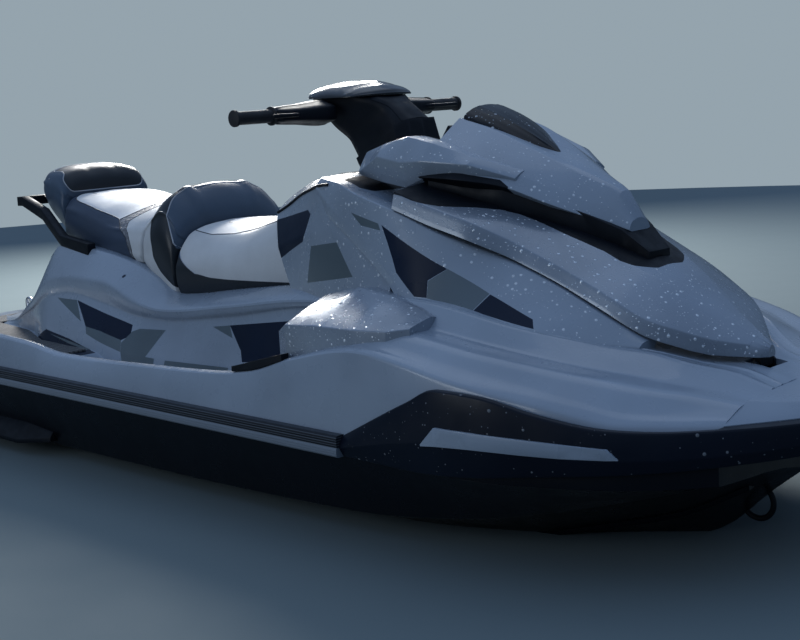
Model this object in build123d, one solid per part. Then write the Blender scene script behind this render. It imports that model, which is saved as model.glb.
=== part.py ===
"""Three-seat personal watercraft, built in millimetres.

Working axes: X runs forward from the platform's rear edge, Y to port, Z up from the keel.
The finished pieces are moved so that the origin is amidships on the waterline.
"""
from build123d import *
from math import atan2, cos, degrees, radians, sin
import os

# Overall sizes
LENGTH = 3360.0
BEAM = 1240.0

# Sizes for which the station tables are drawn. Stations ahead of FORE_X follow LENGTH, breadths follow BEAM
DRAWN_LENGTH = 3360.0
DRAWN_BEAM = 1240.0
FORE_X = 2180.0


def fore(x):
    """Place of a drawn station on a craft of this length."""
    if x <= FORE_X:
        return x
    return FORE_X + (x - FORE_X) * (LENGTH - FORE_X) / (DRAWN_LENGTH - FORE_X)


def fitted(table, breadths):
    """Drawn table fitted to the craft's length and beam. The breadths are its columns across the craft."""
    rows = []
    for row in table:
        sized = list(row)
        for column in breadths:
            sized[column] *= BEAM / DRAWN_BEAM
        rows.append((fore(row[0]), *sized[1:]))
    return rows


# Levels and common gaps
WATERLINE = 140.0
SEAM_Z = 365.0
RUNNING_GAP = 5.0
SEAT_GAP = 0.3

# Hull and rub rail
RAIL_HEIGHT = 50.0
RAIL_WIDTH = 25.0
FLANGE_HALF_WIDTH = BEAM / 2 - RAIL_WIDTH
STRAKE_WIDTH = 22.0
STRAKE_DEPTH = 12.0
STRAKE_SHARE = 0.55
CHINE_SHARE = 0.3
CHINE_RISE = 8.0
TRANSOM_X = 100.0
DRAWN_BOW_X = 3160.0

# Jet pump
PUMP_Z = 135.0
RECESS_FRONT_X = 500.0
RECESS_HALF_WIDTH = 150.0
RECESS_TOP_Z = 310.0
DUCT_REAR_X = 620.0
DUCT_FRONT_X = 1060.0
BORE_RADIUS = 78.0
PUMP_WALL = 12.0
HUB_RADIUS = 30.0
SHAFT_RADIUS = 12.0
CONE_START_X = 300.0
NECK_FRONT_X = 228.0
CONE_END_X = 182.0
CONE_END_RADIUS = 40.0
CONE_WALL = 6.0
NOZZLE_PIVOT_X = 165.0
NOZZLE_FRONT_X = 177.0
NOZZLE_END_X = 70.0
NOZZLE_FRONT_RADIUS = 66.0
NOZZLE_END_RADIUS = 41.0
NOZZLE_WALL = 6.0
NOZZLE_COLLAR = 20.0
PIN_RADIUS = 6.0
VANE_COUNT = 5
BLADE_COUNT = 3
BLADE_THICKNESS = 6.0
BLADE_CHORD = 76.0
ROOT_PITCH = 25.0
TIP_PITCH = 55.0
IMPELLER_X = 442.0
HUB_LENGTH = 76.0
BEARING_X = 305.0
EAR_HALF = 15.0
VANE_THICKNESS = 6.0
VANE_REAR_X = 300.0
VANE_FRONT_X = 388.0
VANE_SWEEP = 18.0
PLATE_THICKNESS = 12.0
PLATE_REAR_X = 30.0
PLATE_Z = 2.0
GRATE_BAR = 10.0
GRATE_DEPTH = 10.0
GRATE_PITCH = 34.0

# Reverse bucket
BUCKET_PIVOT_X = 150.0
BUCKET_ARM_Y = 92.0
BUCKET_WALL = 6.0
BUCKET_RADIUS = 118.0
BRACKET_HALF = 14.0
BRACKET_REACH = 60.0

# Side outlines from the bucket's pivot, as x and z: the sector its shell fills, and one arm
BUCKET_SECTOR = [(0, 0), (30, 300), (-260, 300), (-220, 100)]
BUCKET_ARM = [(14, -14), (14, 112), (-92, 68), (-14, -14)]

# Reboarding step
STEP_PIVOT_X = 86.0
STEP_PIVOT_Z = 165.0
STEP_ARM_LENGTH = 160.0
STEP_HALF_WIDTH = 205.0
STEP_TUBE_RADIUS = 9.0
STEP_LEAN = 46.0
STEP_HUB_RADIUS = 14.0
STEP_HUB_HALF = 12.0
CLEVIS_WIDTH = 6.0
CLEVIS_RADIUS = 12.0

# Engine and its bay
ENGINE_REAR_X = 1150.0
ENGINE_LENGTH = 460.0
ENGINE_WIDTH = 320.0
ENGINE_HEIGHT = 400.0
BAY_FLOOR_Z = 85.0
BAY_MARGIN = 45.0
BAY_CUT_Z = 760.0

# Storage well under the hood
WELL_REAR_X = fore(2360.0)
WELL_FRONT_X = fore(2740.0)
WELL_HALF_WIDTH = 195.0
WELL_FLOOR_Z = 400.0
WELL_CUT_Z = 900.0

# Steering
COLUMN_X = 1984.0
COLUMN_Z = 1025.0
COLUMN_TILT = 30.0
COLUMN_RADIUS = 16.0
BAR_X = 1830.0
BAR_Z = 1106.0
BAR_RADIUS = 11.0
BAR_HALF_LENGTH = 400.0
GRIP_RADIUS = 17.0
GRIP_LENGTH = 125.0
GRIP_OVERHANG = 10.0
BAR_WALL = 2.5

PAD_SLOPE = 12.0
PAD_BASE = 36.0
SHAFT_LENGTH = 44.0
HOUSING_RADIUS = 25.0
HOUSING_LENGTH = 160.0
LEVER_THICKNESS = 12.0
LEVER_REACH = 144.0
THROTTLE_REACH = 120.0

# Rings up the steering neck, in the column's frame. Columns: height, rear, front, half width, corner
NECK = [(5, -108, 104, 62, 24), (60, -112, 80, 56, 20), (112, -120, 46, 84, 24), (200, -126, 0, 112, 24)]

# Rings of the fixed collar under it, with the same columns
COLLAR = [(-150, -90, 70, 84, 24), (0, -112, 112, 78, 30)]

# Rings of the bar pad. Columns: y, rear, front, height
BAR_PAD = [
    (-112, -52, 110, 8), (-70, -72, 140, 24), (0, -78, 156, 32), (70, -72, 140, 24), (112, -52, 110, 8),
]

# Glovebox
LID_FRONT_X = 1870.0
LID_REAR_X = 1748.0
LID_HALF_WIDTH = 92.0
LID_THICKNESS = 10.0
LID_LIP = 18.0
BOX_RIM = 12.0
BOX_DEPTH = 90.0
BARREL_GAP = 1.0

# Instrument display
DISPLAY_REAR_X = fore(2196.0)
DISPLAY_FRONT_X = fore(2276.0)
DISPLAY_BASE_Z = 870.0
DISPLAY_LOW_Z = 990.0
DISPLAY_TOP_X = fore(2250.0)
DISPLAY_TOP_Z = 1062.0
DISPLAY_HALF_WIDTH = 84.0
DISPLAY_RIM = 10.0
DISPLAY_GLASS = 3.0

# Hood
HOOD_WALL = 16.0
HOOD_PIN_X = fore(3056.0)
HOOD_PIN_Z = 538.0
HINGE_RADIUS = 10.0
HINGE_PIN_RADIUS = 5.0
HINGE_POCKET_DEPTH = 38.0
HINGE_POCKET_REAR = 26.0
HINGE_POCKET_FRONT = 38.0
EAR_WIDTH = 8.0
LUG_WIDTH = 50.0

# Small fittings
MAT_THICKNESS = 7.0
MAT_MARGIN = 16.0
MAT_INSET = 12.0
MAT_REAR_X = 95.0
MAT_CORNER_X = 260.0
MAT_TAIL_X = 480.0
MAT_MIDDLE_X = 700.0
MAT_FRONT_X = 985.0
TAIL_REAR_X = 225.0
WELL_MAT_REAR_X = 1195.0
WELL_MAT_FRONT_X = 1890.0
EYE_RING_RADIUS = 38.0
EYE_ROD_RADIUS = 6.5
BOW_EYE_X = fore(3040.0)
BOW_EYE_Z = 228.0
STERN_EYE_INSET = 40.0
STERN_EYE_Z = 285.0
CLEAT_X = 1955.0
CLEAT_LENGTH = 190.0
CLEAT_WIDTH = 24.0
CLEAT_PROUD = 13.0
HANDLE_BAR = 30.0
TOW_EYE_X = 45.0
TOW_EYE_HEIGHT = 24.0
TOW_EYE_RADIUS = 22.0
TOW_EYE_THICKNESS = 10.0
TOW_HOLE_RADIUS = 12.0


# Plan of the hull flange. Columns: x, inset from its widest half breadth
PLAN = fitted([
    (0, 125), (60, 50), (300, 5), (2367, 0), (2576, 2), (2754, 13),
    (2880, 55), (3000, 110), (3100, 185), (DRAWN_BOW_X, 250),
], (1,))

# Hull bottom. Columns: x, keel z, pad y, chine y, chine z
HULL = fitted([
    (TRANSOM_X, 12, 95, 440, 165),
    (620, 0, 95, 475, 170),
    (1500, 0, 60, 490, 178),
    (2300, 5, 20, 470, 195),
    (2600, 36, 12, 420, 222),
    (2800, 98, 9, 350, 258),
    (2950, 152, 7, 270, 290),
    (3080, 262, 5, 180, 322),
    (DRAWN_BOW_X, 325, 4, 95, 345),
], (2, 3))

# Deck upper surface from the gunwale inboard, as y and z of each line.
# Columns: x, gunwale y z, lip y z, floor outer y, floor inner y, floor z,
# crease y z, bulge y z, top y z, middle z
DECK = fitted([
    (0, 440, 424, 420, 430, 400, 260, 430, 200, 430.5, 150, 431, 100, 431.5, 432),
    (220, 566, 455, 540, 458, 520, 215, 430, 200, 434, 185, 438, 130, 442, 446),
    (480, 572, 480, 545, 483, 525, 250, 430, 246, 470, 264, 500, 236, 524, 540),
    (700, 574, 506, 547, 509, 525, 335, 430, 290, 555, 292, 620, 240, 728, 735),
    (1000, 574, 492, 547, 494, 522, 355, 430, 297, 575, 303, 640, 228, 700, 702),
    (1180, 574, 474, 547, 476, 520, 358, 368, 297, 545, 306, 585, 224, 648, 650),
    (1280, 574, 475, 547, 477, 520, 358, 368, 297, 541, 309, 570, 226, 606, 606),
    (1600, 574, 485, 547, 487, 520, 360, 368, 300, 573, 312, 602, 230, 640, 640),
    (1900, 574, 500, 547, 502, 520, 364, 368, 306, 618, 318, 640, 252, 668, 668),
    (2030, 574, 518, 547, 521, 518, 380, 420, 320, 630, 326, 648, 265, 670, 668),
    (2180, 576, 562, 545, 566, 512, 420, 560, 350, 640, 335, 655, 290, 672, 668),
    (2400, 578, 600, 545, 610, 505, 440, 640, 400, 686, 380, 692, 330, 690, 680),
    (2660, 572, 562, 530, 578, 490, 420, 608, 374, 644, 350, 650, 300, 650, 640),
    (2860, 530, 526, 485, 548, 440, 370, 574, 284, 600, 262, 603, 236, 602, 590),
    (2940, 502, 508, 455, 530, 400, 320, 558, 234, 584, 214, 586, 186, 580, 564),
    (3000, 470, 492, 425, 512, 370, 290, 544, 196, 561, 160, 561, 126, 556, 546),
    (3080, 402, 486, 362, 502, 310, 244, 528, 150, 539, 110, 540, 76, 540, 540),
    (DRAWN_BOW_X, 325, 482, 290, 498, 258, 216, 510, 150, 519, 120, 521, 90, 522, 523),
], (1, 3, 5, 6, 8, 10, 12))

# Deck nose over the bow bumper. Columns: x, edge y, edge z, shoulder y z, middle z
DECK_NOSE = fitted([
    (DRAWN_BOW_X, 325, 482, 232, 515, 524),
    (3250, 190, 482, 130, 502, 510),
    (3320, 60, 482, 40, 490, 494),
], (1, 3))

# Side bumpers. Columns: x, outer y, lower z, crease z, upper z
BUMPER = fitted([
    (2367, 612, 365, 388, 412),
    (2576, 620, 365, 430, 514),
    (2654, 620, 368, 440, 548),
    (2754, 610, 376, 440, 545),
    (2880, 568, 388, 436, 512),
    (3000, 514, 396, 430, 488),
    (3100, 440, 402, 430, 481),
    (DRAWN_BOW_X, 376, 405, 430, 480),
], (1,))
BUMPER_LIP = 14.0

# Bow bumper. Columns: x, outer y, lower z, crease z, upper z
BOW_BUMPER = fitted([
    (DRAWN_BOW_X, 376, 405, 430, 480),
    (3250, 262, 412, 436, 480),
    (3320, 140, 420, 442, 480),
    (DRAWN_LENGTH, 46, 428, 448, 478),
], (1,))

# Light insert in each side bumper. Columns: x, lower z, upper z
INSERT = fitted([
    (2630, 432, 436), (2668, 436, 475), (2754, 440, 474), (2857, 436, 467),
    (2932, 433, 461), (3012, 432, 454), (3032, 432, 434),
], ())
INSERT_PROUD = 4.0
INSERT_DEPTH = 24.0

# Joints between the seat cushions
REAR_SEAT_X = 620.0
FRONT_SEAT_X = 1276.0
BACKREST_X = FRONT_SEAT_X - 180.0

# Front seat. Columns: x, base y z, side y z, edge y z, middle z
FRONT_SEAT = fitted([
    (FRONT_SEAT_X, 218, 598, 236, 680, 172, 776, 806),
    (1400, 220, 608, 238, 694, 174, 777, 816),
    (1520, 222, 622, 238, 700, 174, 780, 824),
    (1660, 218, 638, 226, 730, 166, 820, 846),
    (1860, 212, 664, 214, 760, 150, 894, 912),
], (1, 3, 5))
SEAT_FRONT_FOOT_X = 1835.0
SEAT_FRONT_HEAD_X = 1711.0
SEAT_FRONT_FOOT_Z = 650.0
SEAT_FRONT_HEAD_Z = 820.0

# Driver's backrest. Columns: x, base y z, side y z, edge y z, middle z
BACKREST = fitted([
    (BACKREST_X, 206, 680, 214, 740, 168, 800, 838),
    (BACKREST_X + 54, 212, 652, 224, 760, 176, 860, 900),
    (BACKREST_X + 104, 216, 626, 230, 790, 178, 884, 922),
    (BACKREST_X + 148, 218, 602, 232, 780, 168, 864, 902),
    (FRONT_SEAT_X - SEAT_GAP, 218, 598, 230, 720, 150, 804, 838),
], (1, 3, 5))

# Rear seat. Columns: x, base y z, side y z, edge y z, middle z
REAR_SEAT = fitted([
    (REAR_SEAT_X, 168, 724, 182, 800, 150, 876, 896),
    (700, 178, 722, 198, 790, 168, 864, 884),
    (820, 188, 708, 208, 770, 174, 834, 856),
    (940, 196, 696, 212, 752, 174, 800, 832),
    (BACKREST_X - SEAT_GAP, 206, 682, 214, 738, 172, 796, 834),
], (1, 3, 5))

# Rear bolster. Columns: x, base y z, side y z, edge y z, middle z
BOLSTER = fitted([
    (384, 60, 872, 84, 896, 66, 922, 930),
    (424, 104, 846, 138, 890, 114, 942, 954),
    (490, 126, 806, 160, 874, 138, 950, 966),
    (560, 138, 768, 172, 860, 144, 942, 958),
    (REAR_SEAT_X - SEAT_GAP, 148, 740, 178, 830, 146, 906, 922),
], (1, 3, 5))

# Console. Columns: x, base y z, side y z, shoulder y z, top y z, middle z
CONSOLE = fitted([
    (1600, 232, 640, 228, 730, 180, 810, 110, 838, 850),
    (1740, 250, 652, 244, 760, 196, 868, 132, 906, 920),
    (1860, 272, 664, 268, 790, 220, 908, 160, 938, 946),
    (2040, 320, 669, 312, 820, 292, 934, 250, 948, 944),
    (2160, 338, 669, 332, 790, 306, 900, 256, 915, 915),
    (2290, 352, 676, 345, 740, 312, 826, 262, 838, 842),
], (1, 3, 5, 7))

# Side pods over the footwell fronts, as x, y and z of each section's corners.
# Columns: x, inner y, outer y, base z, side top z, crown y, crown z
SIDE_POD = fitted([
    (2062, 350, 505, 545, 606, 400, 636),
    (2120, 342, 535, 555, 630, 400, 682),
    (2240, 338, 550, 570, 640, 405, 708),
    (2360, 346, 550, 584, 640, 412, 696),
    (2450, 370, 530, 606, 640, 420, 676),
    (2495, 400, 500, 630, 646, 430, 662),
], (1, 2, 5))

# Side cowls between deck and hood. Columns: x, foot y z, head y z
SIDE_COWL = fitted([
    (1960, 268, 925, 246, 948),
    (2060, 314, 880, 296, 942),
    (2170, 336, 820, 326, 915),
    (2290, 360, 745, 338, 884),
    (2400, 392, 672, 330, 842),
    (2600, 372, 654, 256, 760),
    (2710, 356, 636, 242, 712),
    (2810, 304, 610, 231, 660),
    (2905, 236, 598, 206, 608),
], (1, 3))
COWL_SIDE_DEPTH = 40.0
POD_OVERLAP = 60.0
CONSOLE_OVERLAP = 60.0

# Hood. Columns: x, skirt y z, chamfer y z, ridge y z, middle z
HOOD = fitted([
    (2300, 342, 884, 330, 924, 160, 944, 950),
    (2400, 334, 850, 322, 890, 155, 914, 920),
    (2500, 312, 816, 300, 856, 146, 882, 888),
    (2600, 258, 766, 245, 800, 136, 842, 850),
    (2700, 243, 722, 230, 754, 122, 796, 806),
    (2800, 232, 672, 220, 706, 100, 746, 757),
    (2900, 210, 616, 200, 650, 70, 690, 698),
    (2950, 176, 594, 165, 628, 55, 656, 663),
    (3000, 120, 570, 110, 602, 38, 624, 630),
    (3050, 52, 558, 42, 584, 18, 594, 598),
], (1, 3, 5))
NOSE_TIP_X = fore(3078.0)

# Upper cowl. Columns: x, base z, lower y z, upper y z, ridge y z, middle z
UPPER_COWL = fitted([
    (2302, 930, 250, 950, 210, 1004, 96, 1080, 1070),
    (2400, 925, 245, 945, 200, 988, 92, 1052, 1040),
    (2500, 905, 198, 928, 166, 960, 76, 1006, 1000),
    (2600, 866, 150, 886, 116, 912, 50, 954, 962),
    (2665, 836, 96, 852, 74, 882, 32, 922, 930),
    (2712, 818, 60, 832, 44, 864, 20, 898, 904),
    (2748, 806, 40, 816, 32, 832, 14, 840, 842),
], (2, 4, 6))

COWL_UNDERCUT = 34.0

# Dark recess under the upper cowl. Columns: x, half width, base z, top z
COWL_RECESS = fitted([
    (2320, 236, 820, 960),
    (2500, 180, 806, 932),
    (2650, 104, 740, 866),
    (2740, 60, 696, 820),
    (2800, 40, 668, 770),
], (1,))

POD_CHAMFER = 20.0
GLASS_RIM = 5.0
GLASS_THICKNESS = 3.0

# Mirror housings. Columns: x, inner y, outer y, lower z, outer z, top z
MIRROR_POD = fitted([
    (2112, 172, 262, 950, 962, 1010),
    (2182, 168, 266, 936, 1000, 1030),
    (2255, 162, 266, 924, 986, 1045),
    (2325, 160, 262, 950, 988, 1030),
    (2440, 162, 242, 946, 988, 996),
    (2517, 150, 212, 930, 962, 972),
], (1, 2))

VISOR_DEPTH = 60.0

# Smoked visor. Columns: x, edge y z, shoulder y z, middle z
VISOR = fitted([
    (2312, 92, 1084, 58, 1102, 1110),
    (2360, 91, 1066, 58, 1084, 1092),
    (2410, 83, 1043, 50, 1060, 1068),
    (2480, 55, 1004, 30, 1018, 1026),
    (2535, 16, 976, 8, 982, 986),
], (1, 3))

# Rear grab handle. Columns: x, inner y, low z, high z
HANDLE = fitted([
    (436, 186, 842, 872), (560, 190, 800, 834), (700, 216, 724, 756), (860, 220, 700, 736),
], (1,))

# Sponsons. Columns: x, lower z, upper z, reach
SPONSON_SINK = 10.0
SPONSON_EDGE = 12.0
SPONSON = [(240, 190, 232, 8), (340, 180, 244, 34), (900, 180, 248, 36), (1040, 196, 236, 10)]


def at(table, x, column):
    """Value of one column of a station table at a place along the craft."""
    for low, high in zip(table, table[1:]):
        if x <= high[0]:
            share = (x - low[0]) / (high[0] - low[0])
            return low[column] + share * (high[column] - low[column])
    return table[-1][column]


def plate(points):
    """Flat face through a closed ring of points."""
    return Face(Wire.make_polygon([Vector(*point) for point in points], close=True))


def mirrored_section(x, half):
    """Section at one station from its port half, centre line to centre line."""
    port = [(x, y, z) for y, z in half]
    starboard = [(x, -y, z) for y, z in reversed(half) if y > 0]
    return plate(port + starboard)


def body_loft(stations):
    """Solid through mirrored sections. Each station is x and its half outline."""
    return loft([mirrored_section(x, half) for x, half in stations], ruled=True)


def side_loft(stations):
    """Solid on the port side through open-ended sections."""
    return loft([plate([(x, y, z) for y, z in ring]) for x, ring in stations], ruled=True)


def starboard(shape):
    """Copy of a port piece on the starboard side."""
    return mirror(shape, about=Plane.XZ)


def block(x_low, x_high, y_low, y_high, z_low, z_high):
    """Box between two corners."""
    size = (x_high - x_low, y_high - y_low, z_high - z_low)
    middle = ((x_low + x_high) / 2, (y_low + y_high) / 2, (z_low + z_high) / 2)
    return Pos(*middle) * Box(*size)


def rod_x(x_low, x_high, radius, y=0.0, z=PUMP_Z):
    """Cylinder along X."""
    return Pos((x_low + x_high) / 2, y, z) * Rot(0, 90, 0) * Cylinder(radius, x_high - x_low)


def rod_y(y_low, y_high, radius, x, z):
    """Cylinder along Y."""
    return Pos(x, (y_low + y_high) / 2, z) * Rot(90, 0, 0) * Cylinder(radius, y_high - y_low)


def rod_z(z_low, z_high, radius, x, y=0.0):
    """Cylinder along Z."""
    return Pos(x, y, (z_low + z_high) / 2) * Cylinder(radius, z_high - z_low)


def flange_y(x):
    """Half-breadth of hull and deck at the seam."""
    return FLANGE_HALF_WIDTH - at(PLAN, x, 1)


def hull_shell():
    """Vee bottom with a chine and a flat pad aft."""
    stations = []
    for x, keel_z, pad_y, chine_y, chine_z in HULL:
        edge = flange_y(x)
        half = [
            (0, keel_z), (pad_y, keel_z), (chine_y, chine_z),
            (chine_y + CHINE_SHARE * (edge - chine_y), chine_z + CHINE_RISE), (edge, SEAM_Z), (0, SEAM_Z),
        ]
        stations.append((x, half))
    return body_loft(stations)


def intake_duct():
    """Cutter for the water duct, open at the bottom and rising aft to the pump."""
    low, high = PUMP_Z - BORE_RADIUS, PUMP_Z + BORE_RADIUS
    rows = [
        (RECESS_FRONT_X - 1, low, high),
        (DUCT_REAR_X, -20, high - 8),
        (DUCT_REAR_X + 180, -20, high - 90),
        (DUCT_FRONT_X, -20, 22),
    ]
    stations = [(x, [(0, a), (BORE_RADIUS, a), (BORE_RADIUS, b), (0, b)]) for x, a, b in rows]
    return body_loft(stations)


def engine_bay(top_z):
    """Cutter for the bay round the engine."""
    half = ENGINE_WIDTH / 2 + BAY_MARGIN
    return block(ENGINE_REAR_X - BAY_MARGIN, ENGINE_REAR_X + ENGINE_LENGTH + BAY_MARGIN,
                 -half, half, BAY_FLOOR_Z, top_z)


def make_strake(hull):
    """Spray rail part way up the port side of the vee."""
    stations = []
    for x, keel_z, pad_y, chine_y, chine_z in HULL[1:-1]:
        y = pad_y + STRAKE_SHARE * (chine_y - pad_y)
        slope = (chine_z - keel_z) / (chine_y - pad_y)
        z = keel_z + slope * (y - pad_y)
        foot_y, foot_z = y - STRAKE_WIDTH, z - slope * STRAKE_WIDTH
        ring = [(foot_y, foot_z), (y, z - STRAKE_DEPTH), (y + 2, z + STRAKE_DEPTH),
                (foot_y, foot_z + STRAKE_DEPTH)]
        stations.append((x, ring))
    return side_loft(stations) - hull


def make_hull():
    """Lower moulding with pump recess, intake duct, shaft bore and engine bay."""
    solid = hull_shell()
    solid -= block(TRANSOM_X - 10, RECESS_FRONT_X, -RECESS_HALF_WIDTH, RECESS_HALF_WIDTH, -20, RECESS_TOP_Z)
    solid -= intake_duct()
    strake = make_strake(solid)
    solid += strake + starboard(strake)
    solid -= engine_bay(SEAM_Z + 1)
    solid -= rod_x(DUCT_REAR_X, ENGINE_REAR_X, SHAFT_RADIUS + RUNNING_GAP)
    return solid


def deck_shell():
    """Upper moulding: gunwales, platform, footwells, pedestal and front deck."""
    stations = []
    for row in DECK:
        (x, gun_y, gun_z, lip_y, lip_z, out_y, in_y, floor_z,
         crease_y, crease_z, bulge_y, bulge_z, top_y, top_z, middle_z) = row
        edge = flange_y(x)
        rail_top = SEAM_Z + RAIL_HEIGHT
        half = [
            (0, SEAM_Z), (edge, SEAM_Z), (edge, rail_top), (gun_y, gun_z), (lip_y, lip_z),
            (out_y, floor_z), (in_y, floor_z), (crease_y, crease_z), (bulge_y, bulge_z),
            (top_y, top_z), (0, middle_z),
        ]
        stations.append((x, half))
    return body_loft(stations)


def deck_nose():
    """Deck forward of the hull, lying on the bow bumper."""
    low = BOW_BUMPER[0][4]
    stations = []
    for x, edge_y, edge_z, shoulder_y, shoulder_z, middle_z in DECK_NOSE:
        half = [(0, low), (edge_y, low), (edge_y, edge_z), (shoulder_y, shoulder_z), (0, middle_z)]
        stations.append((x, half))
    return body_loft(stations)


def storage_well():
    """Cutter for the bin under the hood."""
    return block(WELL_REAR_X, WELL_FRONT_X, -WELL_HALF_WIDTH, WELL_HALF_WIDTH, WELL_FLOOR_Z, WELL_CUT_Z)


def make_deck():
    """Upper moulding with the storage well and the engine opening."""
    solid = deck_shell() + deck_nose()
    solid -= storage_well()
    solid -= engine_bay(BAY_CUT_Z)
    solid -= hinge_pocket()
    return solid


def make_rail():
    """Rub rail along the seam from the stern corner to the bumper."""
    inner = [(row[0], flange_y(row[0])) for row in PLAN if row[0] <= BUMPER[0][0]]
    outer = [(x, y + RAIL_WIDTH) for x, y in inner]
    outline = inner + outer[::-1]
    return extrude(plate([(x, y, SEAM_Z) for x, y in outline]), RAIL_HEIGHT, dir=(0, 0, 1))


def bumper_ring(x, outer_y, low_z, crease_z, high_z):
    """Section of a side bumper against the deck and hull flange."""
    inner = flange_y(x)
    return [(inner, low_z), (outer_y - BUMPER_LIP, low_z), (outer_y, crease_z),
            (outer_y - BUMPER_LIP, high_z), (inner, high_z)]


def make_bumper(deck, hull):
    """Side bumper, seated on deck and hull."""
    solid = side_loft([(row[0], bumper_ring(*row)) for row in BUMPER])
    return solid - deck - hull


def make_bow_bumper():
    """Bumper round the bow, in one block across the centre line."""
    stations = []
    for x, outer_y, low_z, crease_z, high_z in BOW_BUMPER:
        lip = min(BUMPER_LIP, outer_y / 4)
        half = [(0, low_z), (outer_y - lip, low_z), (outer_y, crease_z), (outer_y - lip, high_z), (0, high_z)]
        stations.append((x, half))
    return body_loft(stations)


def make_insert(bumper, deck):
    """Light insert on the face of a side bumper."""
    stations = []
    for x, low_z, high_z in INSERT:
        face = at(BUMPER, x, 1)
        stations.append((x, [(face - INSERT_DEPTH, low_z), (face + INSERT_PROUD, low_z),
                             (face + INSERT_PROUD, high_z), (face - INSERT_DEPTH, high_z)]))
    return side_loft(stations) - bumper - deck


def make_sponson(hull):
    """Side fin near the stern, seated on the hull side."""
    stations = []
    for x, low_z, high_z, reach in SPONSON:
        chine_y, chine_z = at(HULL, x, 3), at(HULL, x, 4)
        edge = flange_y(x)
        outer_y = chine_y + CHINE_SHARE * (edge - chine_y)
        share = (high_z - chine_z - CHINE_RISE) / (SEAM_Z - chine_z - CHINE_RISE)
        side_y = outer_y + share * (edge - outer_y)
        stations.append((x, [(outer_y - SPONSON_SINK, low_z), (side_y + reach, low_z),
                             (side_y + reach, low_z + SPONSON_EDGE), (side_y - SPONSON_SINK, high_z)]))
    return side_loft(stations) - hull


def seat_loft(table):
    """Cushion through six-point half sections."""
    stations = []
    for x, base_y, base_z, side_y, side_z, edge_y, edge_z, middle_z in table:
        half = [(0, base_z), (base_y, base_z), (side_y, side_z), (edge_y, edge_z), (0, middle_z)]
        stations.append((x, half))
    return body_loft(stations)


def seat_front_cut(offset):
    """Half space ahead of the leaning joint between front seat and console."""
    lean = atan2(SEAT_FRONT_FOOT_X - SEAT_FRONT_HEAD_X, SEAT_FRONT_HEAD_Z - SEAT_FRONT_FOOT_Z)
    turn = Pos(SEAT_FRONT_FOOT_X + offset, 0, SEAT_FRONT_FOOT_Z) * Rot(0, -degrees(lean), 0)
    return turn * Pos(BEAM / 2, 0, 0) * Box(BEAM, BEAM, BEAM)


def make_console(lid_cutter, deck):
    """Console between seat and hood, with the glovebox recess."""
    stations = []
    for x, base_y, base_z, side_y, side_z, shoulder_y, shoulder_z, top_y, top_z, middle_z in CONSOLE:
        low = base_z - CONSOLE_OVERLAP
        half = [(0, low), (base_y, low), (base_y, base_z), (side_y, side_z),
                (shoulder_y, shoulder_z), (top_y, top_z), (0, middle_z)]
        stations.append((x, half))
    solid = body_loft(stations) & seat_front_cut(SEAT_GAP)
    return solid - deck - lid_cutter


def lid_frame():
    """Plane on the console's top under the lid, X pointing aft to forward."""
    rear_z, front_z = at(CONSOLE, LID_REAR_X, 9), at(CONSOLE, LID_FRONT_X, 9)
    run, rise = LID_FRONT_X - LID_REAR_X, front_z - rear_z
    size = (run ** 2 + rise ** 2) ** 0.5
    slope = (run / size, 0, rise / size)
    return Plane(origin=(LID_FRONT_X, 0, front_z), x_dir=slope, z_dir=(-slope[2], 0, slope[0]))


def lid_length():
    """Length of the lid along its own slope."""
    rise = at(CONSOLE, LID_FRONT_X, 9) - at(CONSOLE, LID_REAR_X, 9)
    return ((LID_FRONT_X - LID_REAR_X) ** 2 + rise ** 2) ** 0.5


def make_lid_cutter():
    """Slot for the lid and the box under it."""
    frame = lid_frame()
    size = lid_length()
    half = LID_HALF_WIDTH + RUNNING_GAP
    barrel = LID_THICKNESS / 2
    slot = block(-size - RUNNING_GAP, 0, -half, half, -LID_THICKNESS - SEAT_GAP, 4 * LID_THICKNESS)
    slot += rod_y(-half, half, barrel + BARREL_GAP, 0, -barrel)
    box = block(BOX_RIM - size, -BOX_RIM, BOX_RIM - LID_HALF_WIDTH, LID_HALF_WIDTH - BOX_RIM, -BOX_DEPTH, 0)
    return frame.location * (slot + box)


def make_glovebox_lid():
    """Flat lid with a hinge barrel along its front edge and a finger lip at the rear."""
    size = lid_length()
    barrel = LID_THICKNESS / 2
    panel = block(-size, 0, -LID_HALF_WIDTH, LID_HALF_WIDTH, -LID_THICKNESS, 0)
    panel += rod_y(-LID_HALF_WIDTH, LID_HALF_WIDTH, barrel, 0, -barrel)
    panel += block(-size, LID_LIP - size, -LID_LIP, LID_LIP, 0, barrel)
    return lid_frame().location * panel


def make_side_pod(deck, console):
    """Pod that closes the front of a footwell."""
    stations = []
    for x, inner_y, outer_y, base_z, side_z, crown_y, crown_z in SIDE_POD:
        inside, low = inner_y - POD_OVERLAP, base_z - POD_OVERLAP
        ring = [(inside, low), (outer_y, low), (outer_y, side_z), (crown_y, crown_z), (inside, crown_z - 20)]
        stations.append((x, ring))
    return side_loft(stations) - deck - console


def make_side_cowl(deck, console, pod):
    """Slanting panel between the front deck and the hood's edge."""
    stations = []
    for x, foot_y, foot_z, head_y, head_z in SIDE_COWL:
        ring = [(foot_y - COWL_SIDE_DEPTH, foot_z - 30), (foot_y, foot_z - 30), (foot_y, foot_z),
                (head_y, head_z), (head_y - COWL_SIDE_DEPTH, head_z)]
        stations.append((x, ring))
    return side_loft(stations) - deck - console - pod


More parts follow.
